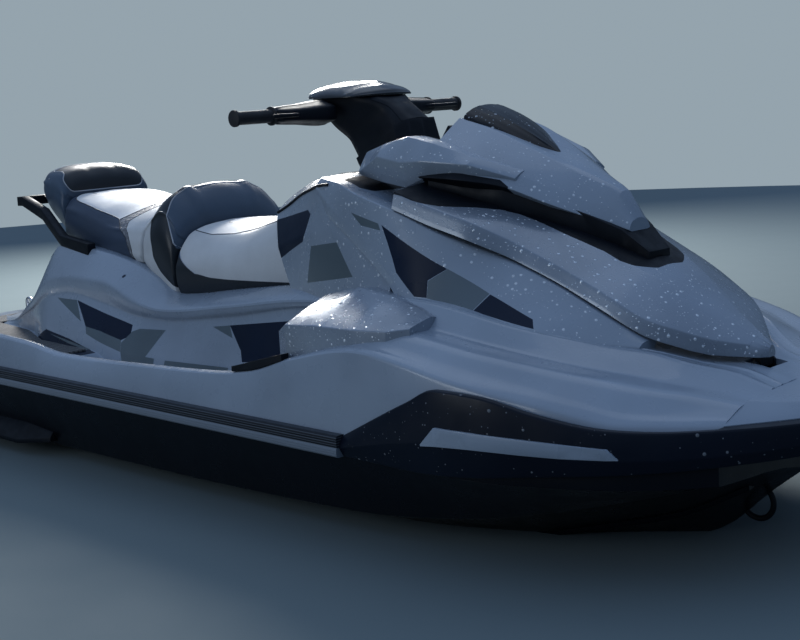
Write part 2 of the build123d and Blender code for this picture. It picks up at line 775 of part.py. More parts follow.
def hood_arch(row):
    """Closed ring of the hood's skin at one station."""
    x, skirt_y, skirt_z, chamfer_y, chamfer_z, ridge_y, ridge_z, middle_z = row
    outer = [(skirt_y, skirt_z), (chamfer_y, chamfer_z), (ridge_y, ridge_z), (0, middle_z)]
    inner = [(skirt_y - HOOD_WALL, skirt_z), (chamfer_y - HOOD_WALL, chamfer_z - HOOD_WALL),
             (ridge_y, ridge_z - HOOD_WALL), (0, middle_z - HOOD_WALL)]
    ring = [(x, y, z) for y, z in outer]
    ring += [(x, -y, z) for y, z in reversed(outer[:-1])]
    ring += [(x, -y, z) for y, z in inner]
    ring += [(x, y, z) for y, z in reversed(inner[:-1])]
    return plate(ring)


def hood_filled():
    """Space taken by the hood's skin and everything under it."""
    stations = []
    for x, skirt_y, skirt_z, chamfer_y, chamfer_z, ridge_y, ridge_z, middle_z in HOOD:
        half = [(0, SEAM_Z), (skirt_y, SEAM_Z), (skirt_y, skirt_z), (chamfer_y, chamfer_z),
                (ridge_y, ridge_z), (0, middle_z)]
        stations.append((x, half))
    return body_loft(stations)


def make_hood():
    """Front hood: thin skin, solid nose and a hinge lug."""
    skin = loft([hood_arch(row) for row in HOOD], ruled=True)
    x, skirt_y, skirt_z, chamfer_y, chamfer_z, ridge_y, ridge_z, middle_z = HOOD[-1]
    half = [(0, skirt_z), (skirt_y, skirt_z), (chamfer_y, chamfer_z), (ridge_y, ridge_z), (0, middle_z)]
    tip = [(0, skirt_z - 4), (14, skirt_z - 4), (12, skirt_z + 12), (8, skirt_z + 18), (0, skirt_z + 24)]
    nose = body_loft([(x - HOOD_WALL, half), (x, half), (NOSE_TIP_X, tip)])
    lug = block(HOOD_PIN_X - HINGE_RADIUS, HOOD_PIN_X + HINGE_RADIUS, -LUG_WIDTH / 2, LUG_WIDTH / 2,
                HOOD_PIN_Z, skirt_z + 6)
    lug += rod_y(-LUG_WIDTH / 2, LUG_WIDTH / 2, HINGE_RADIUS, HOOD_PIN_X, HOOD_PIN_Z)
    lug -= rod_y(-LUG_WIDTH, LUG_WIDTH, HINGE_PIN_RADIUS + SEAT_GAP, HOOD_PIN_X, HOOD_PIN_Z)
    return skin + nose + lug


def hinge_pocket():
    """Cutter in the deck for the hood's hinge."""
    half = LUG_WIDTH / 2 + RUNNING_GAP + EAR_WIDTH
    return block(HOOD_PIN_X - HINGE_POCKET_REAR, HOOD_PIN_X + HINGE_POCKET_FRONT, -half, half,
                 HOOD_PIN_Z - HINGE_POCKET_DEPTH, HOOD_PIN_Z + 2 * HINGE_POCKET_DEPTH)


def make_hood_hinge():
    """Two ears and a pin in the pocket under the hood's nose."""
    ears = Part()
    inner = LUG_WIDTH / 2 + RUNNING_GAP
    for side in (-1, 1):
        low, high = (inner, inner + EAR_WIDTH) if side > 0 else (-inner - EAR_WIDTH, -inner)
        ears += rod_y(low, high, HINGE_RADIUS, HOOD_PIN_X, HOOD_PIN_Z)
        ears += block(HOOD_PIN_X - HINGE_RADIUS, HOOD_PIN_X + HINGE_RADIUS, low, high,
                      HOOD_PIN_Z - HINGE_POCKET_DEPTH, HOOD_PIN_Z)
    reach = inner + EAR_WIDTH
    ears += rod_y(-reach, reach, HINGE_PIN_RADIUS, HOOD_PIN_X, HOOD_PIN_Z)
    return ears


def make_upper_cowl():
    """Raised cowl that carries the visor."""
    stations = []
    for x, base_z, lower_y, lower_z, upper_y, upper_z, ridge_y, ridge_z, middle_z in UPPER_COWL:
        half = [(0, base_z), (lower_y - COWL_UNDERCUT, base_z), (lower_y, lower_z), (upper_y, upper_z),
                (ridge_y, ridge_z), (0, middle_z)]
        stations.append((x, half))
    return body_loft(stations)


def make_cowl_recess(hood, cowl):
    """Dark core between hood and upper cowl."""
    stations = [(x, [(0, low), (wide, low), (wide, high), (0, high)]) for x, wide, low, high in COWL_RECESS]
    return body_loft(stations) - cowl - hood


def make_mirror_pod(cowl, recess, hood):
    """Wing that houses one rear-view mirror."""
    stations = []
    for x, inner_y, outer_y, low_z, outer_z, top_z in MIRROR_POD:
        ring = [(inner_y, low_z), (outer_y - POD_CHAMFER, low_z), (outer_y, outer_z),
                (outer_y - 1.7 * POD_CHAMFER, top_z), (inner_y, top_z - 4)]
        stations.append((x, ring))
    return side_loft(stations) - cowl - recess - hood


def make_mirror_glass():
    """Mirror glass on a pod's rear face."""
    x = MIRROR_POD[0][0]
    inner_y, outer_y, low_z, outer_z, top_z = MIRROR_POD[0][1:]
    inside, side = inner_y + GLASS_RIM, outer_y - GLASS_RIM
    ring = [(x, inside, low_z + 3), (x, side - POD_CHAMFER, low_z + 3), (x, side, outer_z - 2),
            (x, outer_y - 1.7 * POD_CHAMFER, top_z - 4), (x, inside, top_z - 7)]
    return extrude(plate(ring), GLASS_THICKNESS, dir=(-1, 0, 0))


def make_visor(cowl):
    """Smoked screen over the display."""
    stations = []
    for x, edge_y, edge_z, shoulder_y, shoulder_z, middle_z in VISOR:
        low = edge_z - VISOR_DEPTH
        half = [(0, low), (edge_y, low), (edge_y, edge_z), (shoulder_y, shoulder_z), (0, middle_z)]
        stations.append((x, half))
    return body_loft(stations) - cowl


def column_frame():
    """Steering frame: X forward and up, Z along the column."""
    tilt = radians(COLUMN_TILT)
    across, along = (cos(tilt), 0, sin(tilt)), (-sin(tilt), 0, cos(tilt))
    return Plane(origin=(COLUMN_X, 0, COLUMN_Z), x_dir=across, z_dir=along)


def in_column(shape):
    """Move a shape from the steering frame to its place."""
    return column_frame().location * shape


def ring_at(height, rear, front, half_width, corner):
    """Eight-sided ring across the column."""
    half = [(front, 0), (front, half_width - corner), (front - corner, half_width),
            (rear + corner, half_width), (rear, half_width - corner), (rear, 0)]
    port = [(x, y, height) for x, y in half]
    other = [(x, -y, height) for x, y in half[-2:0:-1]]
    return plate(port + other)


def make_steering_base(console):
    """Fixed collar with the column's shaft."""
    collar = loft([ring_at(*row) for row in COLLAR], ruled=True)
    shaft = rod_z(0, SHAFT_LENGTH, COLUMN_RADIUS, 0)
    return in_column(collar + shaft) - console


def make_neck(pad):
    """Neck that turns on the column and carries the bar."""
    body = loft([ring_at(*row) for row in NECK], ruled=True)
    bore = rod_z(0, SHAFT_LENGTH + SEAT_GAP, COLUMN_RADIUS + SEAT_GAP, 0)
    under_pad = block(0, LENGTH, -BEAM / 2, BEAM / 2, 0, BAR_Z + PAD_BASE)
    return (in_column(body - bore) & under_pad) - bar_cutter() - pad


def bar_cutter():
    """Seat of the handlebar tube."""
    return rod_y(-BAR_HALF_LENGTH, BAR_HALF_LENGTH, BAR_RADIUS, BAR_X, BAR_Z)


def make_bar():
    """Handlebar tube."""
    tube = rod_y(-BAR_HALF_LENGTH, BAR_HALF_LENGTH, BAR_RADIUS, BAR_X, BAR_Z)
    return tube - rod_y(-BAR_HALF_LENGTH - 1, BAR_HALF_LENGTH + 1, BAR_RADIUS - BAR_WALL, BAR_X, BAR_Z)


def make_grip():
    """Rubber grip with an end flange."""
    outer = BAR_HALF_LENGTH + GRIP_OVERHANG
    inner = outer - GRIP_LENGTH
    solid = rod_y(inner, outer, GRIP_RADIUS, BAR_X, BAR_Z)
    solid += rod_y(inner, inner + 5, GRIP_RADIUS + 7, BAR_X, BAR_Z)
    solid += rod_y(outer - 7, outer, GRIP_RADIUS + 4, BAR_X, BAR_Z)
    return solid - bar_cutter()


def make_switch_housing(finger_reach):
    """Clamped housing inboard of a grip, with its finger lever."""
    high = BAR_HALF_LENGTH + GRIP_OVERHANG - GRIP_LENGTH - SEAT_GAP
    low = high - HOUSING_LENGTH
    middle = (low + high) / 2
    solid = rod_y(low, high, HOUSING_RADIUS, BAR_X, BAR_Z)
    solid += block(BAR_X, BAR_X + 1.8 * HOUSING_RADIUS, low + 6, high - 4, BAR_Z - 14, BAR_Z + 12)
    root, lever_z = BAR_X + 1.5 * HOUSING_RADIUS, BAR_Z - LEVER_THICKNESS / 2
    outline = [(0, 20), (26, 44), (22, finger_reach), (12, finger_reach), (4, 60)]
    lever = plate([(root + x, middle + y, lever_z) for x, y in outline])
    solid += extrude(lever, LEVER_THICKNESS, dir=(0, 0, 1))
    return solid - bar_cutter()


def make_bar_pad():
    """Padded cover over the middle of the bar."""
    rings = []
    low = BAR_Z + PAD_BASE
    for y, rear, front, height in BAR_PAD:
        back, nose, crown = BAR_X + rear, BAR_X + front, low + height + PAD_SLOPE
        ring = [(back, y, low), (nose, y, low), (nose - 4, y, low + height * 0.5),
                (nose - 60, y, crown), (back + 16, y, crown - 8), (back, y, low + height * 0.6)]
        rings.append(plate(ring))
    return loft(rings, ruled=True)


def make_display():
    """Pod that carries the instrument glass, facing the rider."""
    outline = [(DISPLAY_REAR_X, DISPLAY_BASE_Z), (DISPLAY_FRONT_X, DISPLAY_BASE_Z),
               (DISPLAY_FRONT_X, DISPLAY_TOP_Z - DISPLAY_RIM), (DISPLAY_TOP_X, DISPLAY_TOP_Z),
               (DISPLAY_REAR_X, DISPLAY_LOW_Z)]
    side = plate([(x, -DISPLAY_HALF_WIDTH, z) for x, z in outline])
    return extrude(side, 2 * DISPLAY_HALF_WIDTH, dir=(0, 1, 0))


def make_display_glass():
    """Sloping glass of the instrument display."""
    run, rise = DISPLAY_TOP_X - DISPLAY_REAR_X, DISPLAY_TOP_Z - DISPLAY_LOW_Z
    slope = (run ** 2 + rise ** 2) ** 0.5
    face = Pos(DISPLAY_REAR_X, 0, DISPLAY_LOW_Z) * Rot(0, -degrees(atan2(rise, run)), 0)
    half = DISPLAY_HALF_WIDTH - DISPLAY_RIM
    return face * block(DISPLAY_RIM, slope - DISPLAY_RIM, -half, half, 0, DISPLAY_GLASS)


def pump_profile():
    """Outer and inner outline of the stator housing, as x and radius."""
    outer = [(RECESS_FRONT_X, BORE_RADIUS + PUMP_WALL), (CONE_START_X, BORE_RADIUS + PUMP_WALL),
             (NECK_FRONT_X, CONE_END_RADIUS + CONE_WALL), (CONE_END_X, CONE_END_RADIUS + CONE_WALL)]
    inner = [(CONE_END_X, CONE_END_RADIUS), (NECK_FRONT_X, CONE_END_RADIUS),
             (CONE_START_X, BORE_RADIUS), (RECESS_FRONT_X, BORE_RADIUS)]
    return outer + inner


def revolve_x(points):
    """Solid of revolution about the pump axis from x and radius pairs."""
    face = plate([(x, 0, PUMP_Z + radius) for x, radius in points])
    return revolve(face, Axis((0, 0, PUMP_Z), (1, 0, 0)), 360)


def make_vane():
    """Curved stator vane from hub to wall, straight at the rear and swept at the front."""
    half, middle_x = VANE_THICKNESS / 2, (VANE_REAR_X + VANE_FRONT_X) / 2
    line = [(VANE_REAR_X, 0), (middle_x, VANE_SWEEP / 4), (VANE_FRONT_X, VANE_SWEEP)]
    low, size = PUMP_Z + HUB_RADIUS - 2, BORE_RADIUS - HUB_RADIUS + 5
    ring = [(x, y - half, low) for x, y in line] + [(x, y + half, low) for x, y in reversed(line)]
    return extrude(plate(ring), size, dir=(0, 0, 1))


def make_pump_housing():
    """Stator housing with vanes, hub, mounting flange and nozzle ears."""
    solid = revolve_x(pump_profile())
    flange = rod_x(RECESS_FRONT_X - 14, RECESS_FRONT_X, BORE_RADIUS + PUMP_WALL + 18)
    flange -= rod_x(RECESS_FRONT_X - 15, RECESS_FRONT_X + 1, BORE_RADIUS)
    bearing = SHAFT_RADIUS + SEAT_GAP
    hub_front = IMPELLER_X - HUB_LENGTH / 2 - RUNNING_GAP
    hub = revolve_x([(BEARING_X - 65, 0), (BEARING_X - 65, SHAFT_RADIUS), (BEARING_X - 15, HUB_RADIUS),
                     (hub_front, HUB_RADIUS), (hub_front, bearing), (BEARING_X - SEAT_GAP, bearing),
                     (BEARING_X - SEAT_GAP, 0)])
    solid += flange
    vane = make_vane()
    for index in range(VANE_COUNT):
        turned = vane.rotate(Axis((0, 0, PUMP_Z), (1, 0, 0)), index * 360 / VANE_COUNT)
        solid += turned
    solid += hub
    for side in (-1, 1):
        near = PUMP_Z + side * (NOZZLE_FRONT_RADIUS + RUNNING_GAP)
        far = near + side * PUMP_WALL
        low, high = min(near, far), max(near, far)
        solid += block(NOZZLE_PIVOT_X - EAR_HALF, CONE_START_X + 2 * EAR_HALF, -EAR_HALF, EAR_HALF, low, high)
        tip = PUMP_Z + side * (NOZZLE_FRONT_RADIUS - NOZZLE_WALL - 1)
        solid += rod_z(min(tip, far), max(tip, far), PIN_RADIUS, NOZZLE_PIVOT_X)
    return solid


def make_nozzle():
    """Steering nozzle that swings on two upright pins."""
    front, end = NOZZLE_FRONT_RADIUS, NOZZLE_END_RADIUS
    straight_x = NOZZLE_PIVOT_X - NOZZLE_COLLAR
    solid = revolve_x([(NOZZLE_FRONT_X, front), (straight_x, front), (NOZZLE_END_X, end + NOZZLE_WALL),
                       (NOZZLE_END_X, end), (straight_x, front - NOZZLE_WALL),
                       (NOZZLE_FRONT_X, front - NOZZLE_WALL)])
    solid -= rod_z(PUMP_Z - 2 * front, PUMP_Z + 2 * front, PIN_RADIUS + SEAT_GAP, NOZZLE_PIVOT_X)
    return solid


def blade_section(radius, pitch):
    """Thin four-sided section of a blade at one radius, turned to its pitch."""
    half, thick = BLADE_CHORD / 2, BLADE_THICKNESS / 2
    turn = radians(pitch)
    ring = []
    edge = thick / 3
    outline = [(-half, -edge), (0, -thick), (half, -edge), (half, edge), (0, thick), (-half, edge)]
    for along, across in outline:
        x = IMPELLER_X + along * cos(turn) - across * sin(turn)
        ring.append((x, along * sin(turn) + across * cos(turn), PUMP_Z + radius))
    return plate(ring)


def make_impeller():
    """Impeller with twisted blades on the long drive shaft."""
    solid = rod_x(IMPELLER_X - HUB_LENGTH / 2, IMPELLER_X + HUB_LENGTH / 2, HUB_RADIUS - 2)
    solid += rod_x(BEARING_X, ENGINE_REAR_X - SEAT_GAP, SHAFT_RADIUS)
    tip = BORE_RADIUS - RUNNING_GAP
    root, middle, middle_pitch = HUB_RADIUS - 10, (HUB_RADIUS + tip) / 2, (ROOT_PITCH + TIP_PITCH) / 2
    pitches = [(root, ROOT_PITCH), (middle, middle_pitch), (tip + 4, TIP_PITCH)]
    sections = [blade_section(radius, pitch) for radius, pitch in pitches]
    blade = loft(sections, ruled=True) & rod_x(IMPELLER_X - BLADE_CHORD, IMPELLER_X + BLADE_CHORD, tip)
    for index in range(BLADE_COUNT):
        solid += blade.rotate(Axis((0, 0, PUMP_Z), (1, 0, 0)), index * 360 / BLADE_COUNT)
    return solid


def make_bucket():
    """Reverse bucket, raised above the nozzle, with its two arms."""
    outer, inner = BUCKET_RADIUS, BUCKET_RADIUS - BUCKET_WALL
    half = BUCKET_ARM_Y
    shell = rod_y(-half, half, outer, BUCKET_PIVOT_X, PUMP_Z)
    shell -= rod_y(-half, half, inner, BUCKET_PIVOT_X, PUMP_Z)
    sector = plate([(BUCKET_PIVOT_X + x, -half, PUMP_Z + z) for x, z in BUCKET_SECTOR])
    shell &= extrude(sector, 2 * half, dir=(0, 1, 0))
    arms = Part()
    for side in (-1, 1):
        low = side * half if side > 0 else side * half - BUCKET_WALL
        arm = plate([(BUCKET_PIVOT_X + x, low, PUMP_Z + z) for x, z in BUCKET_ARM])
        arms += extrude(arm, BUCKET_WALL, dir=(0, 1, 0))
    arms -= rod_y(-2 * half, 2 * half, PIN_RADIUS + SEAT_GAP, BUCKET_PIVOT_X, PUMP_Z)
    return shell + arms


def make_bucket_brackets():
    """Brackets from the recess wall that carry the bucket's pins."""
    solid = Part()
    for side in (-1, 1):
        inner = BUCKET_ARM_Y + BUCKET_WALL + RUNNING_GAP
        low, high = (inner, RECESS_HALF_WIDTH) if side > 0 else (-RECESS_HALF_WIDTH, -inner)
        solid += block(BUCKET_PIVOT_X - BRACKET_HALF, BUCKET_PIVOT_X + BRACKET_REACH, low, high,
                       PUMP_Z - BRACKET_HALF, PUMP_Z + BRACKET_HALF)
        tip = BUCKET_ARM_Y - 2
        pin = (tip, inner + 1) if side > 0 else (-inner - 1, -tip)
        solid += rod_y(pin[0], pin[1], PIN_RADIUS, BUCKET_PIVOT_X, PUMP_Z)
    return solid


def make_ride_plate():
    """Flat plate that closes the pump recess below."""
    half = RECESS_HALF_WIDTH - SEAT_GAP
    return block(PLATE_REAR_X, RECESS_FRONT_X, -half, half, PLATE_Z, PLATE_Z + PLATE_THICKNESS)


def make_grate():
    """Barred guard across the intake."""
    half = BORE_RADIUS - SEAT_GAP
    rear, front = DUCT_REAR_X + SEAT_GAP, DUCT_FRONT_X - SEAT_GAP
    frame = block(rear, front, -half, half, 0, GRATE_DEPTH)
    frame -= block(rear + 2 * GRATE_BAR, front - 3 * GRATE_BAR, GRATE_BAR - half, half - GRATE_BAR,
                   -1, GRATE_DEPTH + 1)
    for index in (-1, 0, 1):
        y = index * GRATE_PITCH
        frame += block(rear, front, y - GRATE_BAR / 2, y + GRATE_BAR / 2, 0, GRATE_DEPTH)
    return frame


def make_eye(x, y, z, hull):
    """Round towing eye let into the hull."""
    ring = Pos(x, y, z) * Rot(90, 0, 0) * Torus(EYE_RING_RADIUS, EYE_ROD_RADIUS)
    return ring - hull


def make_step():
    """Folding step: a square loop hinged below the platform, stowed upright."""
    top = STEP_PIVOT_Z + STEP_ARM_LENGTH
    lean = STEP_PIVOT_X - STEP_LEAN
    loop = rod_y(-STEP_HALF_WIDTH, STEP_HALF_WIDTH, STEP_TUBE_RADIUS, lean, top)
    for side in (-1, 1):
        y = side * STEP_HALF_WIDTH
        start, end = Vector(STEP_PIVOT_X, y, STEP_PIVOT_Z), Vector(lean, y, top)
        axis = end - start
        plane = Plane(origin=start, z_dir=axis)
        loop += plane.location * Pos(0, 0, axis.length / 2) * Cylinder(STEP_TUBE_RADIUS, axis.length)
        loop += Pos(lean, y, top) * Sphere(STEP_TUBE_RADIUS)
        loop += rod_y(y - STEP_HUB_HALF, y + STEP_HUB_HALF, STEP_HUB_RADIUS, STEP_PIVOT_X, STEP_PIVOT_Z)
        reach, bore = STEP_HUB_HALF + 1, PIN_RADIUS + SEAT_GAP
        loop -= rod_y(y - reach, y + reach, bore, STEP_PIVOT_X, STEP_PIVOT_Z)
    return loop


def make_step_brackets():
    """Clevis brackets on the transom that carry the step."""
    solid = Part()
    for side in (-1, 1):
        y = side * STEP_HALF_WIDTH
        reach = STEP_HUB_HALF + RUNNING_GAP + CLEVIS_WIDTH / 2
        for ear in (-1, 1):
            low, high = y + ear * reach - CLEVIS_WIDTH / 2, y + ear * reach + CLEVIS_WIDTH / 2
            solid += rod_y(low, high, CLEVIS_RADIUS, STEP_PIVOT_X, STEP_PIVOT_Z)
            solid += block(STEP_PIVOT_X, TRANSOM_X, low, high,
                           STEP_PIVOT_Z - CLEVIS_RADIUS, STEP_PIVOT_Z + CLEVIS_RADIUS)
        solid += rod_y(y - reach, y + reach, PIN_RADIUS, STEP_PIVOT_X, STEP_PIVOT_Z)
    return solid


def make_grab_handle(deck, seats):
    """Rear grab handle: two side arms joined behind the bolster."""
    stations = []
    for x, inner, low, high in HANDLE:
        outer = inner + HANDLE_BAR
        stations.append((x, [(inner, low), (outer, low), (outer, high), (inner, high)]))
    arm = side_loft(stations)
    x, inner, low, high = HANDLE[0]
    cross = block(x - HANDLE_BAR, x, -inner - HANDLE_BAR, inner + HANDLE_BAR, low, high)
    solid = arm + starboard(arm) + cross - deck
    for seat in seats:
        solid -= seat
    return solid


def make_platform_mat(deck):
    """Mat on the boarding platform, either side of the pedestal's tail."""
    floor = at(DECK, MAT_FRONT_X, 7)
    outer = [(x, at(DECK, x, 5) - MAT_MARGIN) for x in (MAT_REAR_X, MAT_CORNER_X, MAT_FRONT_X)]
    inner = [(x, at(DECK, x, 6) + MAT_INSET) for x in (MAT_FRONT_X, MAT_MIDDLE_X, MAT_TAIL_X)]
    tail = at(DECK, TAIL_REAR_X, 6) + MAT_INSET
    outline = [(MAT_REAR_X, 0)] + outer + inner + [(TAIL_REAR_X, tail), (TAIL_REAR_X, 0)]
    ring = [(x, y, floor) for x, y in outline]
    other = [(x, -y, floor) for x, y in outline[-2:0:-1]]
    return extrude(plate(ring + other), MAT_THICKNESS, dir=(0, 0, 1)) - deck


def make_footwell_mat():
    """Mat on one footwell floor."""
    rear, front = WELL_MAT_REAR_X, WELL_MAT_FRONT_X
    middle = (rear + front) / 2
    floor = at(DECK, middle, 7)
    inner, outer = at(DECK, middle, 6) + MAT_INSET, at(DECK, middle, 5) - MAT_INSET
    return block(rear, front, inner, outer, floor, floor + MAT_THICKNESS)


def make_cleat(deck):
    """Mooring cleat on the gunwale."""
    x, front = CLEAT_X, CLEAT_X + CLEAT_LENGTH
    middle = (x + front) / 2
    y = (at(DECK, middle, 1) + at(DECK, middle, 3) - CLEAT_WIDTH) / 2
    low, high = at(DECK, x, 2), at(DECK, front, 4) + CLEAT_PROUD
    root = low - CLEAT_WIDTH
    ring = [(x, y, root), (front, y, root), (front, y, high), (x, y, low + CLEAT_PROUD)]
    return extrude(plate(ring), CLEAT_WIDTH, dir=(0, 1, 0)) - deck


def make_engine():
    """Engine as one plain block."""
    return block(ENGINE_REAR_X, ENGINE_REAR_X + ENGINE_LENGTH, -ENGINE_WIDTH / 2, ENGINE_WIDTH / 2,
                 BAY_FLOOR_Z, BAY_FLOOR_Z + ENGINE_HEIGHT)


def make_tow_eye(deck):
    """Upright towing eye on the platform's rear edge, with a round hole."""
    centre_z = at(DECK, TOW_EYE_X, 14) + TOW_EYE_HEIGHT
    half = TOW_EYE_THICKNESS / 2
    solid = rod_y(-half, half, TOW_EYE_RADIUS, TOW_EYE_X, centre_z)
    solid += block(TOW_EYE_X - TOW_EYE_RADIUS, TOW_EYE_X + TOW_EYE_RADIUS, -half, half,
                   centre_z - TOW_EYE_HEIGHT - TOW_EYE_RADIUS, centre_z)
    return solid - rod_y(-half, half, TOW_HOLE_RADIUS, TOW_EYE_X, centre_z) - deck


def build():
    """All pieces by node name."""
    hull = make_hull()
    deck = make_deck()
    parts = {"hull": hull}
    seats = {
        "front_seat": seat_loft(FRONT_SEAT) - seat_front_cut(0),
        "driver_backrest": seat_loft(BACKREST),
        "rear_seat": seat_loft(REAR_SEAT),
        "rear_bolster": seat_loft(BOLSTER),
    }
    for name, shape in seats.items():
        parts[name] = shape - deck
    parts["deck"] = deck
    rail = make_rail()
    bumper = make_bumper(deck, hull)
    insert = make_insert(bumper, deck)
    sponson = make_sponson(hull)
    console = make_console(make_lid_cutter(), deck)
    pod = make_side_pod(deck, console)
    side_cowl = make_side_cowl(deck, console, pod)
    hood = make_hood()
    under_hood = hood_filled()
    cowl = make_upper_cowl() - under_hood
    recess = make_cowl_recess(under_hood, cowl)
    mirror_pod = make_mirror_pod(cowl, recess, under_hood)
    glass = make_mirror_glass()
    cleat = make_cleat(deck)
    mat = make_footwell_mat()
    grip = make_grip()
    pairs = {
        "bumper": bumper, "side_pod": pod, "side_cowl": side_cowl, "mirror_pod": mirror_pod, "grip": grip,
    }
    for name, shape in pairs.items():
        parts[name + "_port"] = shape
        parts[name + "_starboard"] = starboard(shape)
    parts["mirror_pod_starboard"] -= cowl
    twins = {
        "rub_rail": rail, "bumper_inserts": insert, "sponsons": sponson, "mirror_glasses": glass,
        "cleats": cleat, "footwell_mats": mat,
    }
    for name, shape in twins.items():
        parts[name] = shape + starboard(shape)
    parts["bow_bumper"] = make_bow_bumper()
    parts["console"] = console
    parts["glovebox_lid"] = make_glovebox_lid()
    parts["hood"] = hood
    parts["hood_hinge"] = make_hood_hinge()
    parts["upper_cowl"] = cowl
    parts["cowl_recess"] = recess
    parts["visor"] = make_visor(cowl)
    parts["display_pod"] = make_display() - console
    parts["display_glass"] = make_display_glass()
    parts["steering_base"] = make_steering_base(console)
    parts["handlebar_neck"] = make_neck(make_bar_pad())
    parts["handlebar"] = make_bar()
    parts["bar_pad"] = make_bar_pad()
    parts["switch_housing_port"] = make_switch_housing(LEVER_REACH)
    parts["throttle_housing_starboard"] = starboard(make_switch_housing(THROTTLE_REACH))
    parts["pump_housing"] = make_pump_housing()
    parts["steering_nozzle"] = make_nozzle()
    parts["impeller"] = make_impeller()
    parts["reverse_bucket"] = make_bucket()
    parts["bucket_brackets"] = make_bucket_brackets()
    parts["ride_plate"] = make_ride_plate()
    parts["intake_grate"] = make_grate()
    parts["bow_eye"] = make_eye(BOW_EYE_X, 0, BOW_EYE_Z, hull)
    stern_y = at(HULL, TRANSOM_X, 3) - STERN_EYE_INSET
    stern = make_eye(TRANSOM_X - EYE_ROD_RADIUS, stern_y, STERN_EYE_Z, hull)
    parts["stern_eyes"] = stern + starboard(stern)
    parts["tow_eye"] = make_tow_eye(deck)
    parts["reboarding_step"] = make_step()
    parts["step_brackets"] = make_step_brackets()
    parts["grab_handle"] = make_grab_handle(deck, [parts["rear_seat"], parts["rear_bolster"]])
    parts["platform_mat"] = make_platform_mat(deck)
    parts["engine"] = make_engine()
    return parts


def write(parts):
    """Move every piece to the finished frame and write one file for each."""
    os.makedirs("parts", exist_ok=True)
    place = Pos(-LENGTH / 2, 0, -WATERLINE)
    for name, shape in parts.items():
        export_step(place * shape, "parts/" + name + ".step")


write(build())
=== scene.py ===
import bpy
import bmesh
import math
import numpy as np
from mathutils import Matrix, Vector


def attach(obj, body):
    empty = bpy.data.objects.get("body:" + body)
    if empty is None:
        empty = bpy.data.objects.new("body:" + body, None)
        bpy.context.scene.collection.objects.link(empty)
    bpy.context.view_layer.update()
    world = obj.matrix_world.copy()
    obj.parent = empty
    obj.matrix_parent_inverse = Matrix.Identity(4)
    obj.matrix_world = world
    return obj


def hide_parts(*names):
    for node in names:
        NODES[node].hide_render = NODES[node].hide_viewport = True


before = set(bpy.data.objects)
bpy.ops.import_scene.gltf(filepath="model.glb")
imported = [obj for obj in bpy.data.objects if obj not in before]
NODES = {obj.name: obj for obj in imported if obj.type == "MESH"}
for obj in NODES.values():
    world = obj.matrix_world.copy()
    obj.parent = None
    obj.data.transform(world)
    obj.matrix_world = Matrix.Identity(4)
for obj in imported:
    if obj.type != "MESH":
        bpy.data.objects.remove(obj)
SCENE = bpy.context.scene
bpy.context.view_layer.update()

# Craft coordinates in millimetres: X from the stern, Y to port, Z up from the keel
ORIGIN_X = 1680.0
ORIGIN_Z = 140.0
SEAM_Z = 365.0
RAIL_TOP = 415.0
RAIL_STRIPE = 387
FLANGE = 595.0

PLAN = [
    (0, 125), (60, 50), (300, 5), (2367, 0), (2576, 2), (2754, 13),
    (2880, 55), (3000, 110), (3100, 185), (3160, 250),
]
HULL = [
    (100, 12, 95, 440, 165), (620, 0, 95, 475, 170), (1500, 0, 60, 490, 178), (2300, 5, 20, 470, 195),
    (2600, 36, 12, 420, 222), (2800, 98, 9, 350, 258), (2950, 152, 7, 270, 290), (3080, 262, 5, 180, 322),
    (3160, 325, 4, 95, 345),
]
DECK = [
    (0, 440, 424, 420, 430, 400, 260, 430, 200, 430.5, 150, 431, 100, 431.5, 432),
    (220, 566, 455, 540, 458, 520, 215, 430, 200, 434, 185, 438, 130, 442, 446),
    (480, 572, 480, 545, 483, 525, 250, 430, 250, 496, 258, 516, 236, 534, 546),
    (700, 574, 506, 547, 509, 525, 335, 430, 290, 574, 293, 622, 240, 728, 735),
    (820, 574, 500, 547, 503, 524, 343, 430, 294, 587, 297, 636, 236, 722, 728),
    (1000, 574, 492, 547, 494, 522, 355, 430, 297, 568, 303, 634, 228, 700, 702),
    (1180, 574, 474, 547, 476, 520, 358, 368, 297, 540, 306, 582, 224, 648, 650),
    (1280, 574, 475, 547, 477, 520, 358, 368, 297, 538, 309, 570, 226, 606, 606),
    (1600, 574, 485, 547, 487, 520, 360, 368, 300, 569, 312, 602, 230, 640, 640),
    (1900, 574, 500, 547, 502, 520, 364, 368, 306, 616, 318, 640, 252, 668, 668),
    (2030, 574, 518, 547, 521, 518, 380, 420, 320, 630, 326, 648, 265, 670, 668),
    (2180, 576, 562, 545, 566, 512, 420, 560, 350, 640, 335, 655, 290, 672, 668),
    (2400, 578, 600, 545, 610, 505, 440, 640, 400, 686, 380, 692, 330, 690, 680),
    (2660, 572, 562, 530, 578, 490, 420, 608, 374, 644, 350, 650, 300, 650, 640),
    (2860, 530, 526, 485, 548, 440, 370, 574, 284, 600, 262, 603, 236, 602, 590),
    (2940, 502, 508, 455, 530, 400, 320, 558, 234, 584, 214, 586, 186, 580, 564),
    (3000, 470, 492, 425, 512, 370, 290, 544, 196, 561, 160, 561, 126, 556, 546),
    (3080, 402, 486, 362, 502, 310, 244, 528, 150, 539, 110, 540, 76, 540, 540),
    (3160, 325, 482, 290, 498, 258, 216, 510, 150, 519, 120, 521, 90, 522, 523),
]
DECK_NOSE = [(3160, 325, 482, 232, 515, 524), (3250, 190, 482, 130, 502, 510), (3320, 60, 482, 40, 490, 494)]
